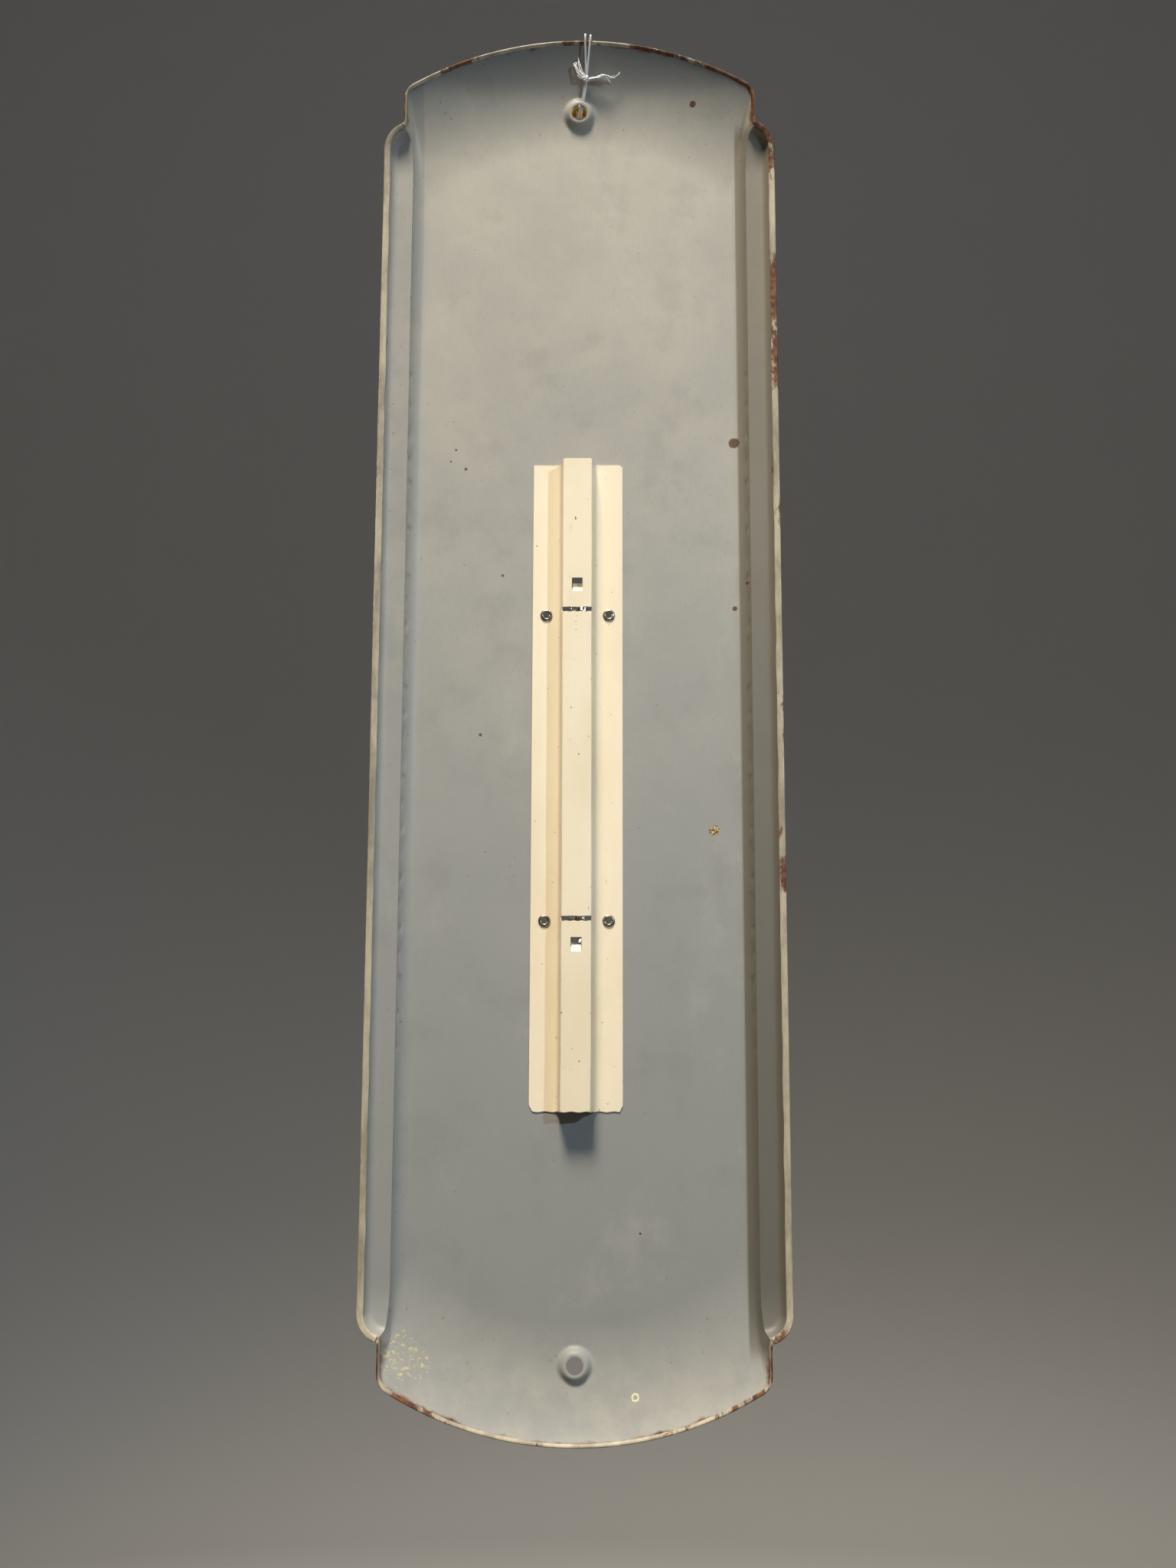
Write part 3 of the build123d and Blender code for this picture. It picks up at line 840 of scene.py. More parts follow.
@dataclass
class PressedFace:
    """The stamped steel face: flat panel, coved sides, curled arched ends and two stepped wings."""

    sheet: float = 0.5
    top: float = 33.9
    bottom: float = -652.1
    lower_hole: float = -618.2
    crown_radius: float = 165.0
    crown_half: float = 88.8
    crown_corner: float = 8.0
    wing_half: float = 99.1
    notch: float = -10.5
    wing_corner: float = 13.0
    notch_round: float = 1.3
    flat_half: float = 75.5
    cove: float = 10.15
    slope: float = 65.0
    curl_length: float = 52.0
    rim: float = 14.7
    floor: float = 5.86
    turn_start: float = 7.6
    turn_radius: float = 4.5
    turn_angle: float = 62.0
    lip_level: float = 9.4
    rise: float = 4.8
    rise_length: float = 25.0
    hole_radius: float = 3.95
    dimple: float = 2.9
    land: float = 4.9
    foot: float = 8.8
    blend: float = 2.4
    edge_inset: float = 0.45
    window_width: float = 16.0
    window_top: float = -230.4
    window_bottom: float = -462.7
    eyelet_x: float = 15.3
    eyelet_rows: tuple = (-265.4, -415.4)
    eyelet_radius: float = 1.95
    wave: float = 0.16
    waves: tuple = ((0.031, 0.017, 0.4, 0.5), (-0.043, 0.026, 2.1, 0.3), (0.071, 0.052, 4.0, 0.2))
    rust_reach: float = 6.0

    def __post_init__(self) -> None:
        """Work out the places that follow from the sizes."""
        self.middle = (self.top + self.bottom) / 2
        self.crown_centre = self.top - self.crown_radius
        self.curl_start = self.crown_radius - self.curl_length
        self.curl_radius = (self.curl_length**2 + self.rim**2) / (2 * self.rim)
        self.corner_x = self.wing_half - self.wing_corner
        self.corner_z = self.notch - self.wing_corner
        self.rise_radius = (self.rise_length**2 + self.rise**2) / (2 * self.rise)
        self.grade = math.tan(math.radians(self.slope))
        self.cove_end = self.flat_half + self.cove * math.sin(math.radians(self.slope))
        self.cove_top = self.cove * (1 - math.cos(math.radians(self.slope)))

    # ---- plan

    def quarter(self) -> np.ndarray:
        """Outline of the upper right quarter of the plan, from the arch's top down to the middle line."""
        points: list = []
        inner = self.crown_radius - self.crown_corner
        fillet_x = self.crown_half - self.crown_corner
        fillet_z = self.crown_centre + math.sqrt(inner**2 - fillet_x**2)
        tangent = math.atan2(fillet_x, fillet_z - self.crown_centre)
        for a in np.linspace(0, tangent, 52):
            points.append(on_circle(0.0, self.crown_centre, self.crown_radius, a))
        for a in np.linspace(tangent, math.pi / 2, 14)[1:]:
            points.append(on_circle(fillet_x, fillet_z, self.crown_corner, a))
        reach = self.crown_half - self.corner_x
        corner = self.corner_z + math.sqrt(self.wing_corner**2 - reach**2)
        start = math.acos((reach + self.notch_round) / self.wing_corner)
        enter = (
            self.corner_x + self.wing_corner * math.cos(start),
            self.corner_z + self.wing_corner * math.sin(start),
        )
        for z in np.linspace(points[-1][1], corner + self.notch_round, 9)[1:]:
            points.append((self.crown_half, z))
        leave = points[-1]
        for t in np.linspace(0, 1, 6)[1:]:
            one, two, three = (1 - t) ** 2, 2 * t * (1 - t), t * t
            points.append((
                one * leave[0] + two * self.crown_half + three * enter[0],
                one * leave[1] + two * corner + three * enter[1],
            ))
        for a in np.linspace(start, 0, 20)[1:]:
            points.append((self.corner_x + self.wing_corner * math.cos(a),
                           self.corner_z + self.wing_corner * math.sin(a)))
        for z in np.linspace(points[-1][1], self.middle, 72)[1:]:
            points.append((self.wing_half, z))
        return np.array(points)

    def outline(self) -> np.ndarray:
        """Whole outline of the plan, clockwise from the arch's top seen from the wall side."""
        right_top = self.quarter()
        mirror_z = np.array([[1.0, -1.0]]), np.array([[0.0, 2 * self.middle]])
        right_low = (right_top * mirror_z[0] + mirror_z[1])[::-1][1:]
        right = np.vstack([right_top, right_low])
        left = (right * np.array([[-1.0, 1.0]]))[::-1][1:-1]
        return np.vstack([right, left])

    # ---- height

    def wing_depth(self, x: np.ndarray, z: np.ndarray) -> np.ndarray:
        """Distance inwards from a wing's outline, negative outside it."""
        up = np.abs(z - self.middle) - (self.corner_z - self.middle)
        out = np.abs(x) - self.corner_x
        round_part = np.hypot(np.maximum(out, 0), np.maximum(up, 0))
        return self.wing_corner - round_part - np.minimum(np.maximum(out, up), 0)

    def wing_surface(self, x: np.ndarray, z: np.ndarray) -> np.ndarray:
        """Height of a wing's back: flat floor, turn-up, then the level under the lip, rising at its ends."""
        depth = self.wing_depth(x, z)
        run = np.clip(self.turn_start - depth, 0, None)
        angle = math.radians(self.turn_angle)
        bend = self.turn_radius * math.sin(angle)
        curve = self.turn_radius - np.sqrt(np.clip(self.turn_radius**2 - np.minimum(run, bend) ** 2, 0, None))
        straight = np.clip(run - bend, 0, None) * math.tan(angle)
        raised = np.minimum(self.floor + curve + straight, self.lip_level)
        past_rise = np.abs(z - self.middle) - (self.notch - self.middle) + self.rise_length
        t = np.clip(past_rise, 0, self.rise_length)
        raised = raised + self.rise_radius - np.sqrt(self.rise_radius**2 - t**2)
        return np.where(np.abs(z - self.middle) > self.notch - self.middle, 1e3, raised)

    def panel_surface(self, x: np.ndarray, z: np.ndarray) -> np.ndarray:
        """Height of the panel, its coved sides and its curled ends."""
        reach = np.abs(x)
        bend = np.clip(reach - self.flat_half, 0, self.cove_end - self.flat_half)
        slope = np.clip(reach - self.cove_end, 0, None) * self.grade
        side = self.cove - np.sqrt(self.cove**2 - bend**2) + slope
        centre = np.where(z > self.middle, self.crown_centre, 2 * self.middle - self.crown_centre)
        away = np.where((z - centre) * np.sign(z - self.middle) > 0, z - centre, 0.0)
        radius = np.hypot(x, away)
        s = np.clip(radius - self.curl_start, 0, self.curl_radius * 0.95)
        curl = self.curl_radius - np.sqrt(self.curl_radius**2 - s**2)
        h = np.clip(self.blend - np.abs(side - curl), 0, None) / self.blend
        soft = np.where((side > 0.02) & (curl > 0.02), h * h * self.blend * 0.25, 0.0)
        return np.maximum(side, curl) + soft * np.clip(np.minimum(side, curl) / 1.5, 0, 1)

    def dimples(self, x: np.ndarray, z: np.ndarray) -> np.ndarray:
        """Height added round the two holes."""
        total = np.zeros_like(x)
        for hole in (0.0, self.lower_hole):
            t = np.clip((np.hypot(x, z - hole) - self.land) / (self.foot - self.land), 0, 1)
            total += self.dimple * (1 - t * t * (3 - 2 * t))
        return total

    def ripple(self, x: np.ndarray, z: np.ndarray) -> np.ndarray:
        """Slight unevenness of old pressed sheet, kept away from the carrier, the holes and the rim."""
        total = np.zeros_like(x)
        for along_x, along_z, phase, share in self.waves:
            total += share * np.sin(along_x * x + along_z * z + phase)
        ease = np.clip((self.flat_half - np.abs(x)) / 14, 0, 1) * np.clip((np.abs(x) - 40) / 14, 0, 1)
        return self.wave * total * ease

    def height(self, x: np.ndarray, z: np.ndarray) -> np.ndarray:
        """Height of the wall side above the panel's back, in millimetres."""
        panel = self.panel_surface(x, z)
        wing = np.where(np.abs(x) > self.cove_end - 2, self.wing_surface(x, z), 1e3)
        return np.minimum(panel, wing) + self.dimples(x, z) + self.ripple(x, z)

    def normals(self, x: np.ndarray, z: np.ndarray) -> np.ndarray:
        """Upright directions of the wall side, one row each."""
        step = 0.05
        dx = (self.height(x + step, z) - self.height(x - step, z)) / (2 * step)
        dz = (self.height(x, z + step) - self.height(x, z - step)) / (2 * step)
        dx, dz = np.clip(dx, -4, 4), np.clip(dz, -4, 4)
        found = np.stack([-dx, np.ones_like(dx), -dz], 1)
        return found / np.linalg.norm(found, axis=1)[:, None]

    def crease(self) -> np.ndarray:
        """The sharp line between the +X side and its wing, as plan points."""
        span = self.notch - self.middle - 0.4
        share = np.sin(np.linspace(-math.pi / 2, math.pi / 2, 150))
        rows = self.middle + span * share
        low = np.full_like(rows, self.cove_end - 0.6)
        high = np.full_like(rows, self.crown_half + 1.0)
        for _ in range(40):
            trial = (low + high) / 2
            under = self.panel_surface(trial, rows) < self.wing_surface(trial, rows)
            low, high = np.where(under, trial, low), np.where(under, high, trial)
        return np.stack([(low + high) / 2, rows], 1)

    # ---- meshes

    def fill(self) -> np.ndarray:
        """Points inside the blank, closer together where the sheet bends."""
        flat = np.arange(0, self.flat_half, 3.6)
        bend = self.flat_half + self.cove * np.sin(np.radians(np.arange(0, self.slope, 6.0)))
        wall = np.arange(self.cove_end, self.crown_half, 1.0)
        rows = np.unique(np.concatenate([
            np.arange(self.middle, self.crown_centre, 4.0), np.arange(self.crown_centre, self.top, 1.9)]))
        columns = np.concatenate([flat, bend, wall])
        grid = np.stack(np.meshgrid(columns, rows), -1).reshape(-1, 2)
        grid[:, 1] += np.repeat((np.arange(len(rows)) % 2) * 0.3, len(columns))
        wing_zone = np.abs(grid[:, 1] - self.middle) < self.notch - self.middle
        grid = grid[~(wing_zone & (grid[:, 0] > self.cove_end - 0.4))]
        edge = self.quarter()
        edge = edge[edge[:, 0] > self.crown_half - 0.5]
        edge = edge[edge[:, 1] < self.notch + 0.3]
        tangent = np.gradient(edge, axis=0)
        inward = np.stack([tangent[:, 1], -tangent[:, 0]], 1)
        inward /= np.linalg.norm(inward, axis=1)[:, None]
        inward *= np.sign((self.corner_x - 6 - edge[:, :1]) * inward[:, :1] + 1e-9)
        angles = np.radians(np.arange(6, self.turn_angle + 1, 8.0))
        bends = self.turn_start - self.turn_radius * np.sin(angles)
        depths = [1.3, 2.2, 2.95, *bends, self.turn_start, 9.3, 11.2]
        bands = np.vstack([edge + inward * depth for depth in depths])
        under = self.panel_surface(*bands.T) > self.wing_surface(*bands.T) + 0.9
        bands = bands[under & (bands[:, 0] < self.wing_half)]
        radii = (4.4, self.land, 5.6, 6.2, 6.8, 7.4, 8.0, self.foot, 9.5)
        ring = np.vstack([circle(0, 0, r, 40) for r in radii])
        ring = ring[ring[:, 0] >= 0]
        top_half = np.vstack([grid, bands])
        crowd = np.hypot(top_half[:, 0], top_half[:, 1]) > self.foot + 1.2
        top_half = np.vstack([top_half[crowd], ring])
        low_half = top_half * [[1, -1]] + [[0, 2 * self.middle]]
        right = np.vstack([top_half, low_half])
        both = np.vstack([right, right * [[-1, 1]]])
        _, first = np.unique(np.round(both, 2), axis=0, return_index=True)
        return both[np.sort(first)]

    def edge_loop(self) -> np.ndarray:
        """The blank's edge: the outline, drawn in by the fold's half thickness."""
        line = self.outline()
        inward = inward_of(line)
        rim, near = line + inward * 0.3, line + inward
        climb = (self.height(rim[:, 0], rim[:, 1]) - self.height(near[:, 0], near[:, 1])) / 0.7
        lean = 1 / np.sqrt(1 + climb**2)
        return line + inward * (self.edge_inset * lean)[:, None]

    def build(self, back: Material, dial: Material) -> Piece:
        """Press the face.

        Args:
            back: Finish of the wall side.
            dial: Finish of the dial side.

        Returns:
            The face as one closed shell.
        """
        edge = self.edge_loop()
        crease = self.crease()
        holes = [circle(0, 0, self.hole_radius), circle(0, self.lower_hole, self.hole_radius), self.window()]
        for row in self.eyelet_rows:
            holes += [circle(sign * self.eyelet_x, row, self.eyelet_radius, 32) for sign in (1, -1)]
        blank = SheetBlank(edge, holes, [crease, crease * [[-1, 1]]], self.fill())
        flat, faces = blank.cut()
        x, z = flat[:, 0], flat[:, 1]
        normal = self.normals(x, z)
        along = np.interp(z, crease[:, 1], crease[:, 0])
        beside_wing = np.abs(z - self.middle) < self.notch - self.middle - 0.3
        on_crease = (np.abs(np.abs(x) - along) < 1e-3) & beside_wing
        wall_x, floor_x = np.sign(x) * (np.abs(x) - 0.15), np.sign(x) * (np.abs(x) + 0.15)
        one, two = self.normals(wall_x, z), self.normals(floor_x, z)
        miter = (one + two) / (1 + (one * two).sum(1))[:, None]
        normal[on_crease] = miter[on_crease]
        top = np.stack([x, self.height(x, z), z], 1)
        verts, made, sides = shell(top * MM, (top - normal * self.sheet) * MM, faces)
        piece = new_piece("face_sheet", verts, made)
        piece.data.materials.append(back)
        piece.data.materials.append(dial)
        piece.data.polygons.foreach_set("material_index", [side.value for side in sides])
        rim = np.tile(np.exp(-spread(flat, edge, 60) / self.rust_reach), 2).astype(np.float32)
        piece.data.attributes.new("rim", "FLOAT", "POINT").data.foreach_set("value", rim)
        piece.data.set_sharp_from_angle(angle=math.radians(50))
        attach(piece, STEEL_BODY)
        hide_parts("face_body")
        return piece

    def window(self) -> np.ndarray:
        """The slot in front of the glass tube."""
        half = self.window_width / 2
        turn = np.linspace(0, math.pi, 25)
        upper = np.stack([half * np.cos(turn), self.window_top - half + half * np.sin(turn)], 1)
        lower = np.stack([-half * np.cos(turn), self.window_bottom + half - half * np.sin(turn)], 1)
        side = np.linspace(upper[-1, 1], lower[0, 1], 60)[1:-1]
        left = np.stack([np.full_like(side, -half), side], 1)
        right = np.stack([np.full_like(side, half), side[::-1]], 1)
        return np.vstack([upper, left, lower, right])

    def hem(self, name: str, path: np.ndarray, width: float, finish: Material) -> Piece:
        """Fold one stretch of the edge over to the wall side.

        Args:
            name: The piece's name.
            path: Outline points that the fold follows, in order, each with its unit direction inwards.
            width: Width of the folded band, measured along the sheet.
            finish: Its finish.

        Returns:
            The folded band as a closed strip.
        """
        verts: list = []
        bead = self.sheet
        section = [(width, 0.02), (width, bead * 0.7), (width - 0.18, bead)]
        section += [(width * 0.5, bead + 0.03), (bead, bead)]
        for a in np.linspace(0.25, math.pi - 0.25, 9):
            section.append((bead - bead * math.sin(a), bead * math.cos(a)))
        section += [(bead, -bead - 0.02), (bead + 0.5, -bead - 0.04)]
        section += [(bead + 0.5, -bead + 0.1), (bead + 0.3, 0.02)]
        for px, pz, ix, iz in path:
            base = np.array([px + ix * self.edge_inset, pz + iz * self.edge_inset])
            here = self.height(base[:1], base[1:])[0]
            probe = base + np.array([ix, iz]) * 1.2
            climb = (self.height(probe[:1], probe[1:])[0] - here) / 1.2
            inward = Vector((ix, climb, iz)).normalized()
            up = (Vector((0, 1, 0)) - inward * inward.y).normalized()
            wear = noise.noise(Vector((px * 0.06, pz * 0.06, 3.0)))
            for s, h in section:
                stretch = s * (1 + 0.12 * wear) if s > bead else s
                place = Vector((px, here, pz)) + inward * stretch + up * h
                verts.append(place * MM)
        piece = new_piece(name, verts, strip_faces(len(path), len(section)))
        tidy_normals(piece, 40)
        put_on(piece, STEEL_BODY, "face_paint", finish, "face_body")
        return piece

    def fold_edges(self, finish: Material) -> list:
        """Fold the whole edge over: two arched ends and two wings.

        Args:
            finish: Their finish.

        Returns:
            The four folded bands.
        """
        line = self.outline()
        full = np.hstack([line, inward_of(line)])
        in_crown = np.abs(full[:, 1] - self.middle) > self.notch - self.middle - 0.6
        bands = []
        for name, chosen, width in (
            ("upper_arch_hem", in_crown & (full[:, 1] > self.middle), 2.0),
            ("lower_arch_hem", in_crown & (full[:, 1] < self.middle), 2.0),
            ("right_wing_hem", ~in_crown & (full[:, 0] > 0), 3.1),
            ("left_wing_hem", ~in_crown & (full[:, 0] < 0), 3.1),
        ):
            index = np.flatnonzero(chosen)
            gap = np.flatnonzero(np.diff(index) > 1)
            if len(gap):
                index = np.roll(index, -(gap[0] + 1))
            bands.append(self.hem(name, full[index], width, finish))
        return bands


# --------------------------------------------------------------------------- tube carrier


@dataclass
class TubeCarrier:
    """Hat-shaped strip behind the window: two flanges and a channel, with clip slots and lanced stops."""

    sheet: float = 0.45
    top: float = -188.4
    bottom: float = -504.7
    half: float = 22.0
    height: float = 10.9
    face_half: float = 7.1
    base_half: float = 8.7
    crown_bend: float = 0.75
    foot_bend: float = 1.9
    slots: tuple = (-265.0, -415.1)
    slot_height: float = 2.3
    slot_reach: float = 8.6
    lances: tuple = (-252.7, -427.4)
    lance_width: float = 5.2
    lance_height: float = 7.0
    stop_lean: tuple = (42.0, 30.0)
    stop_length: tuple = (6.4, 5.1)
    eyelet_x: float = 15.3
    eyelet_rows: tuple = (-265.4, -415.4)
    eyelet_radius: float = 1.95

    def section(self) -> np.ndarray:
        """The wall side of half the section, from the middle outwards: x, y and the upright direction."""
        leg = Vector((self.base_half - self.face_half, self.sheet - self.height)).normalized()
        lean = math.atan2(-leg.y, leg.x)
        rows: list = []
        for corner, radius, sign, before in (
            (Vector((self.face_half, self.height)), self.crown_bend, -1, Vector((1, 0))),
            (Vector((self.base_half, self.sheet)), self.foot_bend, 1, leg),
        ):
            cut = radius * math.tan(lean / 2)
            start = corner - before * cut
            upright = Vector((-before.y, before.x))
            centre = start + upright * radius * sign
            for t in np.linspace(0, lean, 10):
                angle = -t if sign < 0 else t
                spoke = Matrix.Rotation(angle, 2) @ (-upright * sign)
                place = centre + spoke * radius
                normal = -spoke * sign
                rows.append((place.x, place.y, normal.x, normal.y))
        rows.insert(0, (0.0, self.height, 0.0, 1.0))
        rows.append((self.half, self.sheet, 0.0, 1.0))
        return np.array(rows)

    def fold(self, flat: np.ndarray) -> tuple[np.ndarray, np.ndarray]:
        """Fold the blank.

        Args:
            flat: Points of the blank: distance from the middle line, and height.

        Returns:
            Places and upright directions, one row each.
        """
        half, run = self.section(), self.run()
        u, z = np.abs(flat[:, 0]), flat[:, 1]
        sign = np.sign(flat[:, 0])
        x, y, nx, ny = (np.interp(u, run, half[:, k]) for k in range(4))
        length = np.hypot(nx, ny)
        sway = 0.10 * np.sin(z * 0.021 + 0.6) + 0.05 * np.sin(z * 0.083)
        lift = 0.05 * np.sin(z * 0.047) * np.clip((u - run[-1] + 5) / 5, 0, 1)
        place = np.stack([sign * x + sway * np.clip(y / self.height, 0, 1), y + np.abs(lift), z], 1)
        return place, np.stack([sign * nx / length, ny / length, np.zeros_like(z)], 1)

    def steps(self) -> np.ndarray:
        """Lengths between neighbouring points of the section."""
        return np.hypot(*np.diff(self.section()[:, :2], axis=0).T)

    def run(self) -> np.ndarray:
        """Distance along the section from its middle to each of its points."""
        return np.concatenate([[0.0], np.cumsum(self.steps())])

    def stop(self, z: float, lean: float, length: float) -> tuple[list, list]:
        """One lanced stop, bent inwards from the lower edge of its opening.

        Args:
            z: Height of the bend.
            lean: Angle between the stop and the channel's back, in degrees.
            length: Length of the stop.

        Returns:
            Points and faces of a closed strip.
        """
        bend, half = 0.7, self.lance_width / 2 - 0.12
        rows: list = []
        for t in np.linspace(0, math.radians(lean), 7):
            rows.append((self.height - bend * (1 - math.cos(t)), z + bend * math.sin(t), t))
        y0, z0, end = rows[-1]
        for s in np.linspace(0, length, 7)[1:]:
            rows.append((y0 - s * math.sin(end), z0 + s * math.cos(end), end))
        verts: list = []
        for row, (y, zz, t) in enumerate(rows):
            shrink = 1.0 - 0.1 * max(0.0, row - 8) / 4
            inner = Vector((0, -math.cos(t), -math.sin(t))) * self.sheet
            for x in np.linspace(-half * shrink, half * shrink, 5):
                verts.append(Vector((x, y, zz)) * MM)
            for x in np.linspace(half * shrink, -half * shrink, 5):
                verts.append((Vector((x, y, zz)) + inner) * MM)
        return verts, strip_faces(len(rows), 10)

    def build(self, finish: Material) -> list:
        """Fold the carrier.

        Args:
            finish: Its paint.

        Returns:
            The carrier and its two stops.
        """
        wide = float(self.steps().sum())
        rows = np.arange(self.bottom, self.top, 3.0)
        side = np.stack([np.full_like(rows, wide), rows], 1)
        ends = np.linspace(wide, -wide, 40)
        head = np.stack([ends, np.full_like(ends, self.top)], 1)[:-1]
        foot = np.stack([ends[::-1], np.full_like(ends, self.bottom)], 1)[1:]
        foot[:, 1] += 0.25 * np.sin(foot[:, 0] * 0.9)
        outline = np.vstack([side[1:], head, (side * [[-1, 1]])[::-1][:-1], foot[:-1]])
        holes = [self.slot(z) for z in self.slots]
        for z in self.lances:
            w, h = self.lance_width / 2, self.lance_height / 2
            corners = np.array([(w, -h), (w, h), (-w, h), (-w, -h)])
            holes.append(round_corners(corners + [[0, z]], 0.35))
        unrolled = self.eyelet_x + wide - self.half
        for row in self.eyelet_rows:
            holes += [circle(sign * unrolled, row, self.eyelet_radius, 28) for sign in (1, -1)]
        columns = np.unique(np.concatenate([np.arange(0, wide, 1.8), self.run()]))
        both = np.concatenate([-columns[::-1], columns])
        grid = np.stack(np.meshgrid(both, rows[:-1] + 1.5), -1).reshape(-1, 2)
        blank = SheetBlank(outline, holes, [], grid, 0.25)
        flat, faces = blank.cut()
        back, normal = self.fold(flat)
        verts, made, _ = shell(back * MM, (back - normal * self.sheet) * MM, faces)
        piece = new_piece("tube_carrier_folded", verts, made)
        piece.data.set_sharp_from_angle(angle=math.radians(38))
        put_on(piece, STEEL_BODY, "cream_paint", finish, "tube_carrier")
        stops = []
        for name, z, lean, length in zip(
            ("upper_tube_stop", "lower_tube_stop"), self.lances, self.stop_lean, self.stop_length
        ):
            stop = new_piece(name, *self.stop(z - self.lance_height / 2 + 0.02, lean, length))
            tidy_normals(stop, 40)
            put_on(stop, STEEL_BODY, "cream_paint", finish)
            stops.append(stop)
        return [piece, *stops]

    def slot(self, z: float) -> np.ndarray:
        """Outline of one clip slot across the channel, its lower edge a little ragged."""
        reach, half = self.slot_reach, self.slot_height / 2
        top = np.stack([np.linspace(reach, -reach, 24), np.full(24, half)], 1)
        low = np.stack([np.linspace(-reach, reach, 24), np.full(24, -half)], 1)
        low[1:-1, 1] += 0.16 * np.sin(low[1:-1, 0] * 1.7 + z)
        top[1:-1, 1] += 0.06 * np.sin(top[1:-1, 0] * 0.8 + z)
        return np.vstack([top, low]) + [[0, z]]


def round_corners(loop: np.ndarray, radius: float) -> np.ndarray:
    """Round each corner of a closed loop.

    Args:
        loop: Corners in order.
        radius: How far from a corner its rounding starts.

    Returns:
        The rounded loop.
    """
    points: list = []
    for before, at, after in zip(np.roll(loop, 1, axis=0), loop, np.roll(loop, -1, axis=0)):
        enter = at + (before - at) / np.linalg.norm(before - at) * radius
        leave = at + (after - at) / np.linalg.norm(after - at) * radius
        for t in np.linspace(0, 1, 5):
            points.append((1 - t) ** 2 * enter + 2 * t * (1 - t) * at + t * t * leave)
    return np.array(points)


# --------------------------------------------------------------------------- turned pieces


def lathe(name: str, profile: list, centre: Vector, axis: str, sides: int = 64, dent: float = 0.0) -> Piece:
    """Turn a closed or axis-to-axis profile round an axis.

    Args:
        name: The piece's name.
        profile: Points as radius and distance along the axis, in millimetres.
        centre: A point on the axis, in millimetres.
        axis: "Y" or "Z".
        sides: Points round the axis.
        dent: Uneven share of the radius.

    Returns:
        The turned piece.
    """
    verts: list = []
    faces: list = []
    rings: list = []
    for radius, along in profile:
        if radius < 1e-6:
            rings.append([len(verts)])
            verts.append(centre + (Vector((0, along, 0)) if axis == "Y" else Vector((0, 0, along))))
            continue
        ring = []
        for k in range(sides):
            turn = 2 * math.pi * k / sides
            r = radius * (1 + dent * math.sin(5 * turn + along) * math.sin(3 * turn + 1.3))
            c, s = r * math.cos(turn), r * math.sin(turn)
            ring.append(len(verts))
            verts.append(centre + (Vector((c, along, s)) if axis == "Y" else Vector((c, s, along))))
        rings.append(ring)
    closed = len(rings[0]) > 1 and len(rings[-1]) > 1
    pairs = list(zip(rings, rings[1:])) + ([(rings[-1], rings[0])] if closed else [])
    for one, two in pairs:
        for k in range(sides):
            n = (k + 1) % sides
            if len(one) == 1:
                faces.append((one[0], two[n], two[k]))
            elif len(two) == 1:
                faces.append((one[k], one[n], two[0]))
            else:
                faces.append((one[k], one[n], two[n], two[k]))
    piece = new_piece(name, [v * MM for v in verts], faces)
    tidy_normals(piece, 42)
    return piece


@dataclass
class CarrierEyelets:
    """Four rolled eyelets that hold the carrier to the face."""

    x: float = 15.3
    rows: tuple = (-265.4, -415.4)
    bore: float = 1.45
    barrel: float = 1.9
    flange: float = 3.0
    head: float = 3.2
    carrier: float = 0.45
    face: float = 0.5
    roll: float = 0.72

    def profile(self) -> list:
        """Section of one eyelet: rolled flange on the carrier, barrel, and flat head on the dial side."""
        low = self.carrier + 0.02
        roll = []
        for t in np.linspace(0, math.pi, 13):
            middle, half = (self.flange + self.bore) / 2, (self.flange - self.bore) / 2
            lean = 0.12 * math.cos(t)
            rise = self.roll * math.sin(t) ** 0.8 * (1 - lean) + 0.1 * (1 - math.cos(t))
            roll.append((middle + half * math.cos(t), low + rise))
        front = -self.face - 0.02
        return [
            *roll, (self.bore, front - 0.2), (self.bore + 0.15, front - 0.34),
            (self.head - 0.15, front - 0.33), (self.head, front - 0.16), (self.head - 0.1, front),
            (self.barrel, front), (self.barrel, low),
        ]

    def build(self, finish: Material) -> list:
        """Set the four eyelets.

        Args:
            finish: Their metal.

        Returns:
            The eyelets.
        """
        made = []
        for height, row in zip(("upper", "lower"), self.rows):
            for side, sign in (("left", 1), ("right", -1)):
                name = f"carrier_eyelet_{height}_{side}"
                centre = Vector((sign * self.x, 0, row))
                piece = lathe(f"{name}_rolled", self.profile(), centre, "Y", 56, 0.012)
                put_on(piece, STEEL_BODY, "eyelet_metal", finish, name)
                made.append(piece)
        return made


@dataclass
class HangingGrommet:
    """Brass funnel pressed into the hanging hole, wide on the wall side."""

    mouth: float = 3.86
    throat: float = 1.75
    metal: float = 0.34
    land: float = 2.9
    face: float = 2.4
    flange: float = 4.5
    front: float = -0.6

    def profile(self) -> list:
        """Section of the funnel."""
        lip = self.land + 0.12
        bell = [(self.throat + (self.mouth - self.metal - self.throat) * t**0.8, 0.2 + (lip - 0.35) * t)
                for t in np.linspace(0, 1, 9)]
        return [
            (self.throat, self.front), (self.throat, 0.0), *bell,
            (self.mouth - 0.12, lip), (self.mouth, lip - 0.1), (self.mouth, self.face),
            (self.flange, self.face - 0.03), (self.flange, self.face - self.metal),
            (self.mouth - 0.1, self.face - self.metal), (self.throat + self.metal, 0.1),
            (self.throat + self.metal, self.front),
        ]

    def build(self, finish: Material) -> Piece:
        """Press the funnel in.

        Args:
            finish: Its metal.

        Returns:
            The funnel.
        """
        piece = lathe("hanging_grommet_funnel", self.profile(), Vector((0, 0, 0)), "Y", 72, 0.006)
        put_on(piece, STEEL_BODY, "brass", finish, "hanging_grommet")
        return piece


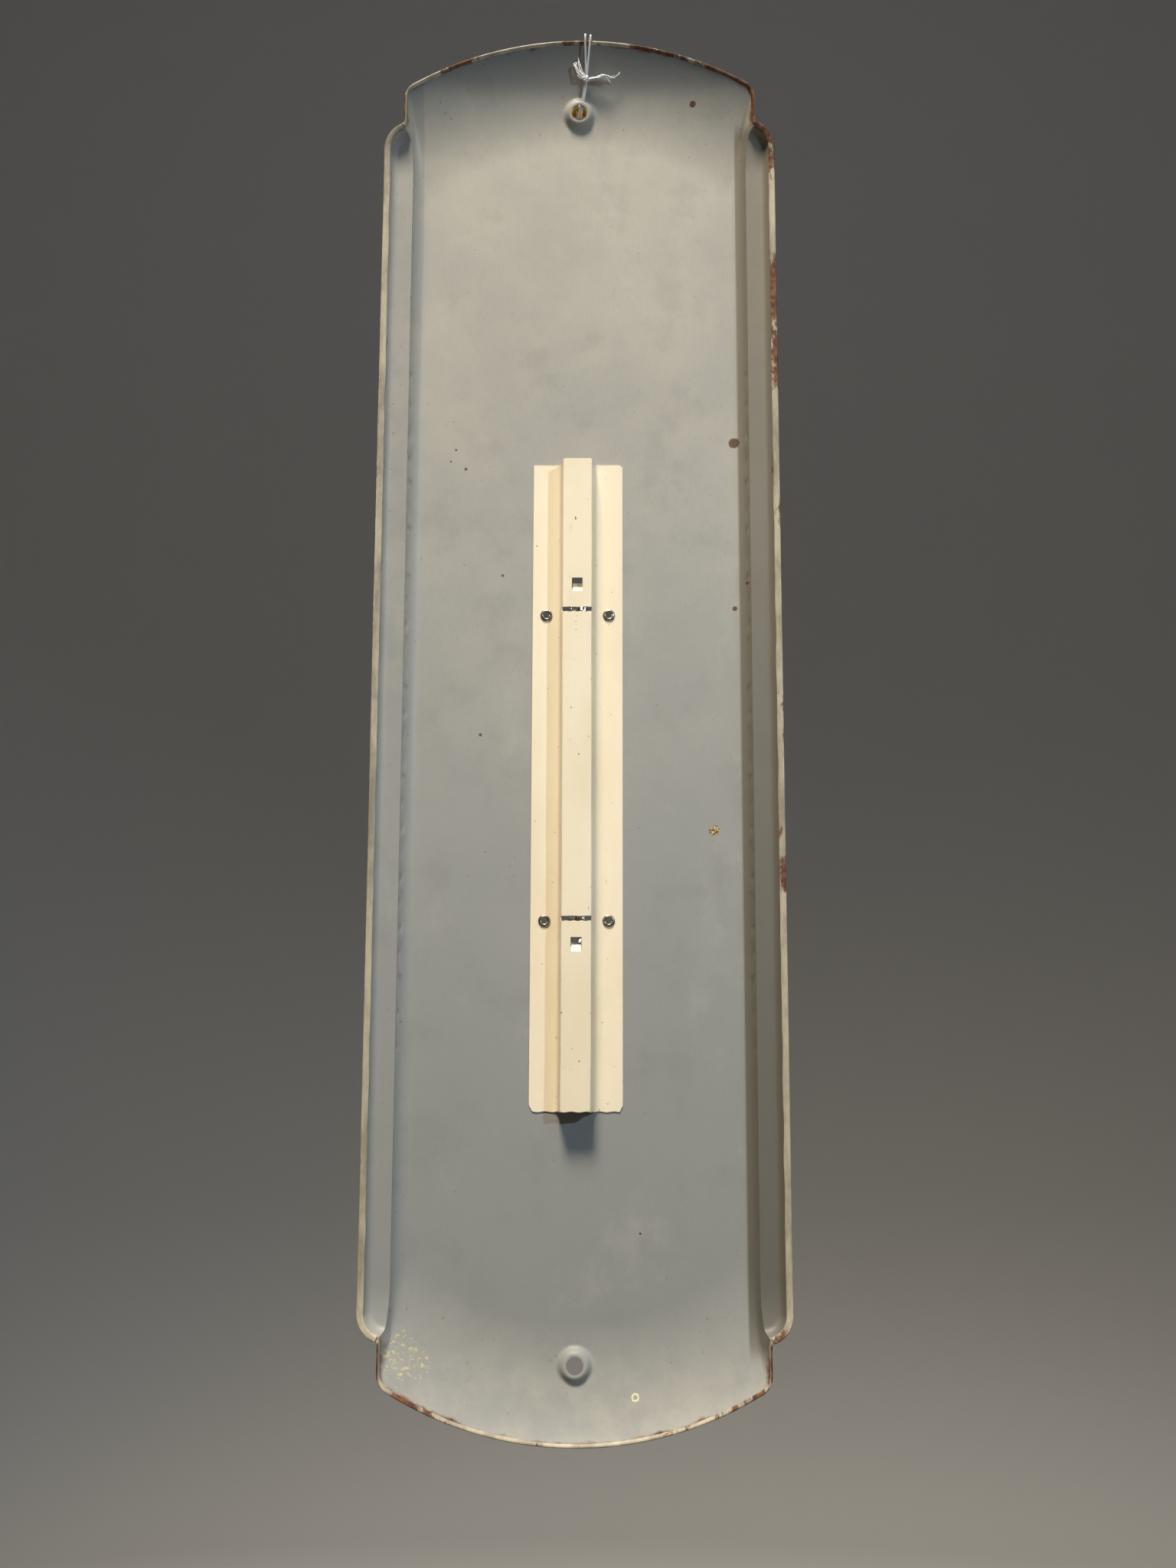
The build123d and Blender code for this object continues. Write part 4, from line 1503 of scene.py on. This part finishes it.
@dataclass
class SpiritTube:
    """Glass tube with its bulb, the spirit in it, and the moving top of the column."""

    y: float = 7.3
    radius: float = 3.0
    bottom: float = -430.3
    top: float = -256.35
    tip_radius: float = 0.75
    tip_length: float = 4.6
    bulb_floor: float = -423.8
    bulb_top: float = -415.6
    bulb_bore: float = 2.3
    capillary: float = 0.5
    gap: float = 0.03
    head_floor: float = -263.85
    head_top: float = -258.85
    head_bore: float = 1.2
    thread_foot: float = -414.6
    level_bottom: float = -316.05
    level_top: float = -314.85

    def glass_profile(self) -> list:
        """Outside of the tube from its sealed tip to its top, then the bore back down."""
        body = self.bottom + self.tip_length
        outside = [(0.0, self.bottom)]
        outside += [(self.tip_radius * math.sin(t), self.bottom + self.tip_radius * (1 - math.cos(t)))
                    for t in np.linspace(0.3, math.pi / 2, 6)]
        for t in np.linspace(0, 1, 10):
            ease = t * t * (3 - 2 * t)
            outside.append((self.tip_radius + (self.radius - self.tip_radius) * ease**0.7,
                            self.bottom + self.tip_radius + 1.2 + t * (self.tip_length - 0.6)))
        outside += [(self.radius, z) for z in np.linspace(body + 2.4, self.top - self.radius, 12)]
        outside += [(self.radius * math.cos(t), self.top - self.radius + self.radius * math.sin(t))
                    for t in np.linspace(0.2, math.pi / 2 - 0.1, 8)]
        outside.append((0.0, self.top))
        return outside

    def bore_profile(self) -> list:
        """The space inside the glass: bulb, capillary and the small chamber at the top."""
        bulb = [(0.0, self.bulb_floor)]
        bulb += [(self.bulb_bore * math.sin(t), self.bulb_floor + self.bulb_bore * (1 - math.cos(t)))
                 for t in np.linspace(0.25, math.pi / 2, 7)]
        bulb += [(self.bulb_bore, self.bulb_top - self.bulb_bore)]
        for t in np.linspace(0.2, math.pi / 2, 6):
            bulb.append((self.capillary + (self.bulb_bore - self.capillary) * math.cos(t),
                         self.bulb_top - self.bulb_bore * (1 - math.sin(t))))
        head = [(self.capillary, self.head_floor), (self.head_bore, self.head_floor + self.head_bore)]
        return bulb + head + [(self.head_bore, self.head_top - self.head_bore), (0.0, self.head_top)]

    def build(self, glass: Material, spirit: Material) -> list:
        """Make the tube, the bulb's spirit, the thread and the column's moving top.

        Args:
            glass: The glass.
            spirit: The dyed spirit.

        Returns:
            The pieces.
        """
        centre = Vector((0, self.y, 0))
        tube = lathe("glass_tube_drawn", self.glass_profile(), centre, "Z", 48)
        bore = lathe("bore", self.bore_profile(), centre, "Z", 24)
        work = bmesh.new()
        work.from_mesh(bore.data)
        bmesh.ops.reverse_faces(work, faces=work.faces)
        work.from_mesh(tube.data)
        work.to_mesh(tube.data)
        work.free()
        bpy.data.objects.remove(bore)
        tube.data.shade_smooth()
        put_on(tube, STEEL_BODY, "glass", glass, "glass_tube")
        fill = [(max(r - self.gap, 0.0), z) for r, z in self.bore_profile() if z < self.bulb_top + 0.01]
        fill[0] = (0.0, self.bulb_floor + self.gap)
        fill += [(self.capillary - self.gap, self.thread_foot), (0.0, self.thread_foot)]
        bulb = lathe("bulb_spirit_fill", fill, centre, "Z", 32)
        put_on(bulb, STEEL_BODY, "spirit", spirit, "bulb_spirit")
        r = self.capillary - self.gap
        heights = np.linspace(self.thread_foot, self.level_bottom, 60)
        column = [(0.0, self.thread_foot), *((r, z) for z in heights), (0.0, self.level_bottom)]
        thread = lathe("spirit_thread_column", column, centre, "Z", 20)
        thread.data.materials.append(spirit)
        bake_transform(thread)
        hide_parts("spirit_thread")
        dome = [(0.0, self.level_bottom), (r, self.level_bottom), (r, self.level_top - 0.35)]
        dome += [(r * 0.8, self.level_top - 0.1), (0.0, self.level_top)]
        level = lathe("spirit_level_top", dome, centre, "Z", 20)
        put_on(level, COLUMN_BODY, "spirit", spirit, "spirit_level")
        return [tube, bulb, thread, level]


@dataclass
class TubeClips:
    """Two sprung strips over the tube, their legs turned over in the carrier's slots."""

    y: float = 7.3
    inner: float = 3.25
    strip: float = 0.4
    width: float = 1.9
    rows: tuple = (("upper_tube_clip", -265.0), ("lower_tube_clip", -415.1))
    leg_end: float = 10.85
    shift: float = 0.25

    def build(self, finish: Material) -> list:
        """Bend the two clips.

        Args:
            finish: Their metal.

        Returns:
            The clips.
        """
        made = []
        for name, row in self.rows:
            path = [(-self.inner - 0.35, self.leg_end), (-self.inner - 0.05, self.leg_end - 0.7)]
            for t in np.linspace(0, math.pi, 25):
                path.append((-self.inner * math.cos(t), self.y - self.inner * math.sin(t)))
            path += [(self.inner + 0.05, self.leg_end - 0.7), (self.inner + 0.3, self.leg_end)]
            line = np.array(path)
            tangent = np.gradient(line, axis=0)
            tangent /= np.linalg.norm(tangent, axis=1)[:, None]
            outward = np.stack([tangent[:, 1], -tangent[:, 0]], 1)
            outward *= np.where(((line - [[0, self.y]]) * outward).sum(1) > 0, 1, -1)[:, None]
            verts: list = []
            half, thick = self.width / 2, self.strip
            ring = [(0, -half + 0.1), (0, half - 0.1), (0.08, half), (thick - 0.08, half)]
            ring += [(thick, half - 0.1), (thick, -half + 0.1), (thick - 0.08, -half), (0.08, -half)]
            for i, ((x, y), out) in enumerate(zip(line, outward)):
                skew = self.shift * (i - len(line) / 2) / len(line)
                for off, up in ring:
                    verts.append(Vector((x + out[0] * off, y + out[1] * off, row + up + skew)) * MM)
            piece = new_piece(f"{name}_bent", verts, strip_faces(len(line), len(ring)))
            tidy_normals(piece, 40)
            put_on(piece, STEEL_BODY, "clip_metal", finish, name)
            made.append(piece)
        return made


# --------------------------------------------------------------------------- cord


# points that steer each strand, in millimetres
LOOP_ROUTE = [
    (-3.0, 7.9, 14.4), (-1.2, 4.6, 5.6), (0.3, 2.6, 1.0), (0.65, 0.4, 0.0), (0.7, -1.3, 0.2),
    (0.6, -1.7, 1.9), (0.2, -0.9, 6.0), (-0.9, 1.6, 14.0), (-2.0, 5.2, 22.0), (-2.9, 9.7, 29.7),
    (-3.1, 13.2, 34.7), (-3.1, 15.4, 36.4), (-3.1, 17.5, 35.7), (-3.1, 17.2, 33.2), (-3.2, 12.8, 24.6),
    (-3.75, 9.0, 16.6), (-3.0, 6.6, 10.0), (-1.75, 4.2, 4.2), (-1.0, 2.4, 0.8), (-0.7, 0.4, -0.1),
    (-0.75, -1.3, 0.1), (-0.95, -1.7, 1.9), (-1.5, -0.9, 6.0), (-3.0, 1.6, 14.0), (-4.5, 5.2, 22.0),
    (-5.6, 9.6, 29.5), (-5.9, 13.0, 34.4), (-5.9, 15.2, 36.1), (-5.85, 17.3, 35.3), (-5.6, 16.8, 32.8),
    (-4.8, 13.2, 25.5), (-3.9, 9.9, 18.2),
]
SHORT_TAIL = [
    (-2.5, 9.1, 16.9), (-1.0, 10.3, 18.6), (0.2, 11.0, 21.2), (0.6, 11.5, 24.4),
]
LONG_TAIL = [
    (-4.7, 8.9, 16.0), (-7.4, 9.2, 16.6), (-10.6, 9.4, 17.0), (-13.6, 9.6, 16.2), (-16.6, 9.7, 15.7),
    (-19.0, 9.8, 16.6), (-20.8, 10.0, 18.6),
]
CROSSING_TURN = [
    (-1.6, 0.7, 0.2), (-0.5, 1.3, 0.9), (0.6, 0.4, 1.7), (1.3, -0.8, 1.2), (1.4, -1.3, -0.2),
    (0.4, -1.0, -0.9),
]
# each fibre: its points, its radius at the root, its radius at the tip
TUFT_FIBRES = [
    (SHORT_TAIL, 0.50, 0.16),
    ([(-2.6, 9.0, 16.4), (-0.6, 10.4, 16.6), (0.9, 11.0, 18.0), (1.8, 11.4, 20.4),
      (2.4, 11.6, 22.6)], 0.55, 0.42),
    ([(-2.6, 9.2, 16.9), (-0.9, 10.6, 18.0), (0.8, 11.4, 19.6), (1.9, 11.9, 21.8),
      (1.3, 12.0, 23.2)], 0.5, 0.3),
    ([(-2.4, 9.0, 16.2), (-0.7, 10.0, 15.7), (0.5, 10.4, 16.1), (1.0, 10.7, 17.3)], 0.45, 0.3),
    ([(-2.6, 9.4, 17.4), (-1.3, 10.6, 19.6), (-0.4, 11.3, 22.6), (0.5, 11.5, 25.2),
      (0.4, 11.5, 26.3)], 0.42, 0.12),
    ([(1.4, 11.2, 20.4), (2.7, 11.8, 21.4), (2.9, 12.0, 22.8), (1.8, 12.0, 23.3)], 0.38, 0.2),
]
TAIL_FIBRES = [
    (LONG_TAIL, 0.50, 0.18),
    ([(-4.6, 9.0, 15.7), (-7.0, 9.7, 15.8), (-9.8, 10.0, 16.0), (-12.4, 10.2, 16.4),
      (-14.6, 10.0, 15.4)], 0.48, 0.4),
    ([(-8.6, 9.4, 16.8), (-10.8, 10.3, 17.4), (-13.0, 10.4, 17.3), (-15.4, 10.2, 16.3),
      (-17.6, 9.8, 15.7), (-18.4, 9.6, 16.0)], 0.4, 0.2),
    ([(-11.4, 9.6, 15.6), (-13.6, 9.9, 15.2), (-15.4, 9.8, 14.6), (-15.9, 9.6, 13.2)], 0.4, 0.14),
    ([(-9.8, 9.8, 16.4), (-12.0, 10.9, 16.9), (-13.7, 10.7, 16.7), (-15.0, 10.2, 17.0)], 0.42, 0.3),
    ([(-15.0, 9.7, 16.2), (-17.2, 10.1, 16.9), (-18.9, 10.2, 16.7), (-20.0, 10.1, 17.8),
      (-20.6, 10.1, 19.2)], 0.26, 0.1),
]


@dataclass
class HangingCord:
    """White twisted string tied twice round the arch, with a knot, a short tuft and a long frayed tail."""

    diameter: float = 1.0
    length: float = 164.8
    lay: float = 3.4
    groove: float = 0.13
    knot: tuple = (-3.3, 8.6, 16.0)

    def fibres(self, name: str, lines: list) -> Piece:
        """Several loose fibres as one piece.

        Args:
            name: The piece's name.
            lines: For each fibre its points in millimetres, its radius at the root and at the tip.

        Returns:
            The fibres.
        """
        verts: list = []
        faces: list = []
        for number, (route, root, tip) in enumerate(lines):
            points = spline_points("fibre", route)
            share = np.linspace(0, 1, len(points))
            wobble = np.array([noise.noise(Vector((s * 9, number * 3.1, 0))) for s in share])
            radii = (root + (tip - root) * share) * (1 + 0.5 * wobble)
            more, sides = tube_mesh(points, radii * MM, 8, self.lay * MM * 0.6, 0.2)
            faces += [tuple(i + len(verts) for i in f) for f in sides]
            verts += more
        piece = new_piece(name, verts, faces)
        tidy_normals(piece)
        return piece

    def build(self, finish: Material) -> list:
        """Tie the cord.

        Args:
            finish: Its fibre.

        Returns:
            The cord, its knot and its two frayed ends.
        """
        path = spline_points("loop", LOOP_ROUTE)
        radii = np.full(len(path), self.diameter / 2 * MM)
        loop = new_piece("cord_loop", *tube_mesh(path, radii, 14, self.lay * MM, self.groove))
        tidy_normals(loop)
        put_on(loop, STEEL_BODY, "cord", finish, "hanging_cord")
        c = Vector(self.knot)
        turns = []
        up = Vector((0.35, 0.35, 0.87)).normalized()
        side = up.orthogonal().normalized()
        other = up.cross(side)
        for t in np.linspace(0, 2 * math.pi * 2.4, 26):
            out = (side * math.cos(t) + other * math.sin(t)) * (1.05 + 0.12 * math.sin(2.3 * t))
            turns.append(tuple(c + out + up * (t / 15.1 - 0.5) * 2.4))
        cross = [tuple(c + up * a + side * b + other * d) for a, b, d in CROSSING_TURN]
        knot = self.fibres("cord_knot_turns", [(turns, 0.5, 0.5), (cross, 0.52, 0.46)])
        put_on(knot, STEEL_BODY, "cord", finish, "cord_knot")
        tuft = self.fibres("cord_short_tuft", TUFT_FIBRES)
        put_on(tuft, STEEL_BODY, "cord", finish, "cord_tail_short")
        tail = self.fibres("cord_long_frayed_tail", TAIL_FIBRES)
        put_on(tail, STEEL_BODY, "cord", finish, "cord_tail_long")
        return [loop, knot, tuft, tail]


# --------------------------------------------------------------------------- printed scale


@dataclass
class PrintedScale:
    """Degree marks and numbers on both sides of the window, with a plain border line."""

    low: int = -40
    high: int = 120
    z_low: float = -405.6
    z_high: float = -273.6
    start_x: float = 9.6
    fine: float = 3.6
    coarse: float = 6.4
    number_x: float = 27.5
    number_size: float = 12.5
    print_y: float = -0.5
    thick: float = 0.05
    border: float = 9.0
    border_width: float = 1.1

    def block(self, x0: float, x1: float, z0: float, z1: float) -> tuple[list, list]:
        """One printed mark as a thin closed block."""
        y0, y1 = self.print_y + 0.02, self.print_y - self.thick
        ring = ((x0, z0), (x1, z0), (x1, z1), (x0, z1))
        verts = [Vector((x, y, z)) * MM for y in (y0, y1) for x, z in ring]
        return verts, [(0, 1, 2, 3), (7, 6, 5, 4), (0, 4, 5, 1), (1, 5, 6, 2), (2, 6, 7, 3), (3, 7, 4, 0)]

    def marks(self) -> Piece:
        """All degree marks as one piece."""
        verts: list = []
        faces: list = []
        step = (self.z_high - self.z_low) / (self.high - self.low)
        for degree in range(self.low, self.high + 1, 2):
            z = self.z_low + (degree - self.low) * step
            length = self.coarse if degree % 10 == 0 else self.fine
            half = 0.32 if degree % 10 == 0 else 0.18
            for sign in (1, -1):
                x0, x1 = sorted((sign * self.start_x, sign * (self.start_x + length)))
                more, sides = self.block(x0, x1, z - half, z + half)
                faces += [tuple(i + len(verts) for i in f) for f in sides]
                verts += more
        piece = new_piece("scale_marks", verts, faces, smooth=False)
        tidy_normals(piece)
        return piece

    def numbers(self) -> Piece:
        """All numbers as one piece."""
        step = (self.z_high - self.z_low) / (self.high - self.low)
        work = bmesh.new()
        for degree in range(self.low, self.high + 1, 20):
            for sign in (1, -1):
                text = bpy.data.curves.new("number", "FONT")
                text.body = str(abs(degree))
                text.size = self.number_size * MM
                text.align_x, text.align_y = "CENTER", "CENTER"
                text.extrude = self.thick / 2 * MM
                text.resolution_u = 6
                holder = bpy.data.objects.new("number", text)
                bpy.context.scene.collection.objects.link(holder)
                bpy.context.view_layer.update()
                mesh = bpy.data.meshes.new_from_object(holder)
                z = self.z_low + (degree - self.low) * step
                place = Vector((sign * self.number_x, self.print_y - self.thick / 2, z))
                mesh.transform(Matrix.Translation(place * MM) @ Matrix.Rotation(math.pi / 2, 4, "X"))
                work.from_mesh(mesh)
                bpy.data.objects.remove(holder)
                bpy.data.meshes.remove(mesh)
        bmesh.ops.remove_doubles(work, verts=work.verts, dist=1e-7)
        mesh = bpy.data.meshes.new("scale_numbers")
        work.to_mesh(mesh)
        work.free()
        piece = bpy.data.objects.new("scale_numbers", mesh)
        bpy.context.scene.collection.objects.link(piece)
        tidy_normals(piece)
        return piece

    def border_line(self, face: PressedFace) -> Piece:
        """A plain line round the panel, pressed to the face's shape."""
        reach = face.flat_half - self.border
        arch = face.crown_radius - 47.0
        turn = math.asin(reach / arch)
        line = [on_circle(0.0, face.crown_centre, arch, a) for a in np.linspace(-turn, turn, 60)]
        low = [(x, 2 * face.middle - z) for x, z in reversed(line)]
        side = np.linspace(line[-1][1], low[0][1], 90)[1:-1]
        loop = np.array([*line, *((reach, z) for z in side), *low, *((-reach, z) for z in side[::-1])])
        across = square_to(loop)
        verts: list = []
        faces: list = []
        count = len(loop)
        for share, depth in ((-0.5, 0.02), (0.5, 0.02), (0.5, -self.thick), (-0.5, -self.thick)):
            at = loop + across * share * self.border_width
            upright = face.normals(at[:, 0], at[:, 1])
            back = np.stack([at[:, 0], face.height(at[:, 0], at[:, 1]), at[:, 1]], 1)
            place = back - upright * (face.sheet - depth)
            verts += [Vector(p) * MM for p in place]
        for row in range(4):
            for i in range(count):
                a, b = row * count + i, row * count + (i + 1) % count
                c, d = (row + 1) % 4 * count + (i + 1) % count, (row + 1) % 4 * count + i
                faces.append((a, b, c, d))
        piece = new_piece("border_line", verts, faces)
        tidy_normals(piece, 40)
        return piece

    def build(self, face: PressedFace, ink: Material) -> list:
        """Print the scale.

        Args:
            face: The face that it is printed on.
            ink: The ink.

        Returns:
            Marks, numbers and border line.
        """
        made = [self.marks(), self.numbers(), self.border_line(face)]
        for piece in made:
            put_on(piece, STEEL_BODY, "face_paint", ink)
        return made


# --------------------------------------------------------------------------- stage


@dataclass(frozen=True)
class Lamp:
    """One soft round light: places in metres, power in watts, and the beam's full width in degrees."""

    name: str
    place: tuple
    aim: tuple
    size: float
    power: float
    colour: tuple
    beam: float

    def hang(self) -> None:
        """Add the light to the scene."""
        data = bpy.data.lights.new(self.name, "AREA")
        data.shape = "DISK"
        data.size = self.size
        data.energy = self.power
        data.color = self.colour
        data.spread = math.radians(self.beam)
        light = bpy.data.objects.new(self.name, data)
        light.location = self.place
        towards = Vector(self.aim) - Vector(self.place)
        light.rotation_euler = towards.to_track_quat("-Z", "Y").to_euler()
        bpy.context.scene.collection.objects.link(light)


MIDDLE = (0.0, 0.0, -0.30)
LAMPS = (
    Lamp("warm_overhead", (0.60, 2.30, 4.50), (-0.15, -1.05, -1.30), 1.6, 26.0, (1.0, 0.90, 0.76), 36.0),
    Lamp("cool_side", (-1.53, 2.0, 0.50), MIDDLE, 0.12, 1.2, (0.62, 0.80, 1.0), 40.0),
    Lamp("soft_front", (1.35, -2.0, 0.60), MIDDLE, 0.9, 3.6, (1.0, 0.97, 0.93), 44.0),
    Lamp("paper_wash", (0.0, -0.7, 3.2), (0, -2.6, 0.1), 1.2, 5.0, (1.0, 0.99, 0.97), 120.0),
)


@dataclass
class Studio:
    """Pale seamless paper, soft lights and the camera."""

    camera_place: tuple = (-0.019, 0.8444, -0.4958)
    camera_up: tuple = (0.0, 0.171, 0.985)
    camera_back: tuple = (-0.016, 0.985, -0.171)
    lens: float = 40.8
    floor: float = -1.30
    wall: float = 3.2
    bend: float = 0.6
    wall_top: float = 3.3
    sky: tuple = (0.95, 0.97, 1.0)
    sky_strength: float = 0.10

    def camera(self) -> Piece:
        """Set the camera up.

        Returns:
            The camera.
        """
        data = bpy.data.cameras.new("camera")
        data.sensor_fit = "AUTO"
        data.sensor_width = 36.0
        data.lens = self.lens
        data.clip_start, data.clip_end = 0.01, 50.0
        camera = bpy.data.objects.new("camera", data)
        bpy.context.scene.collection.objects.link(camera)
        back = Vector(self.camera_back).normalized()
        right = Vector(self.camera_up).cross(back).normalized()
        up = back.cross(right)
        camera.matrix_world = Matrix((
            (right.x, up.x, back.x, self.camera_place[0]),
            (right.y, up.y, back.y, self.camera_place[1]),
            (right.z, up.z, back.z, self.camera_place[2]),
            (0, 0, 0, 1),
        ))
        bpy.context.scene.camera = camera
        return camera

    def paper(self, finish: Material) -> Piece:
        """Lay the round floor and its curved rise all round the object.

        Args:
            finish: The paper.

        Returns:
            The paper.
        """
        flat = self.wall - self.bend
        profile = [(flat * share, self.floor) for share in (0.0, 0.25, 0.5, 0.75, 1.0)]
        profile += [(flat + self.bend * math.sin(a), self.floor + self.bend * (1 - math.cos(a)))
                    for a in np.linspace(0.1, math.pi / 2, 14)]
        profile += [(self.wall, 1.2), (self.wall, self.wall_top)]
        sides = 96
        angles = np.linspace(0.0, 2.0 * math.pi, sides, endpoint=False)
        verts = [Vector((0.0, 0.0, self.floor))]
        for reach, z in profile[1:]:
            verts += [Vector((reach * math.cos(a), reach * math.sin(a), z)) for a in angles]
        faces = [(0, 1 + k, 1 + (k + 1) % sides) for k in range(sides)]
        for ring in range(len(profile) - 2):
            start = 1 + ring * sides
            faces += [(start + k, start + sides + k, start + sides + (k + 1) % sides, start + (k + 1) % sides)
                      for k in range(sides)]
        piece = new_piece("seamless_paper", verts, faces)
        piece.data.materials.append(finish)
        piece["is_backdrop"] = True
        return piece

    def lights(self) -> None:
        """Hang the lights and set the surroundings."""
        for lamp in LAMPS:
            lamp.hang()
        world = bpy.data.worlds.new("surroundings")
        world.use_nodes = True
        sky = world.node_tree.nodes["Background"]
        sky.inputs["Color"].default_value = (*self.sky, 1.0)
        sky.inputs["Strength"].default_value = self.sky_strength
        bpy.context.scene.world = world
        bpy.context.scene.view_settings.view_transform = "Standard"


# --------------------------------------------------------------------------- main


def finishes() -> dict[str, Material]:
    """Make every finish once.

    Returns:
        The finishes by name.
    """
    return {
        "back": GreyBackPaint().make(),
        "dial": DialEnamel().make(),
        "hem": HemPaint().make(),
        "cream": CreamCarrierPaint().make(),
        "eyelet": BRONZED_EYELET.make(),
        "clip": TINNED_CLIP.make(),
        "brass": BRIGHT_BRASS.make(),
        "glass": ClearGlass().make(),
        "spirit": RedSpirit().make(),
        "string": WhiteString().make(),
        "ink": ScaleInk().make(),
        "paper": PaleStage().make(),
    }


def corners(box: tuple) -> list:
    """A box's two corners as plain lists of numbers."""
    return [[float(c) for c in corner] for corner in box]


def report(pieces: list) -> None:
    """Say what was made."""
    for piece in pieces:
        LOG.info("%s: %d points", piece.name, len(piece.data.vertices))


def main(frame: dict, cad_box: list) -> None:
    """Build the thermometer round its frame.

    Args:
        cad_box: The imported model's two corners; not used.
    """
    LOG.info("frame has %d nodes", len(frame["nodes"]))
    studio = Studio()
    studio.camera()
    finish = finishes()
    report(HangingCord().build(finish["string"]))
    face = PressedFace()
    report([face.build(finish["back"], finish["dial"]), *face.fold_edges(finish["hem"])])
    report(TubeCarrier().build(finish["cream"]))
    report(CarrierEyelets().build(finish["eyelet"]))
    report([HangingGrommet().build(finish["brass"])])
    report(SpiritTube().build(finish["glass"], finish["spirit"]))
    report(TubeClips().build(finish["clip"]))
    report(PrintedScale().build(face, finish["ink"]))
    report([studio.paper(finish["paper"])])
    studio.lights()


if __name__ == "__main__":
    logging.basicConfig(level=logging.INFO, format="%(name)s %(message)s")
    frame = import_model()
    main(frame, corners(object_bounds()))
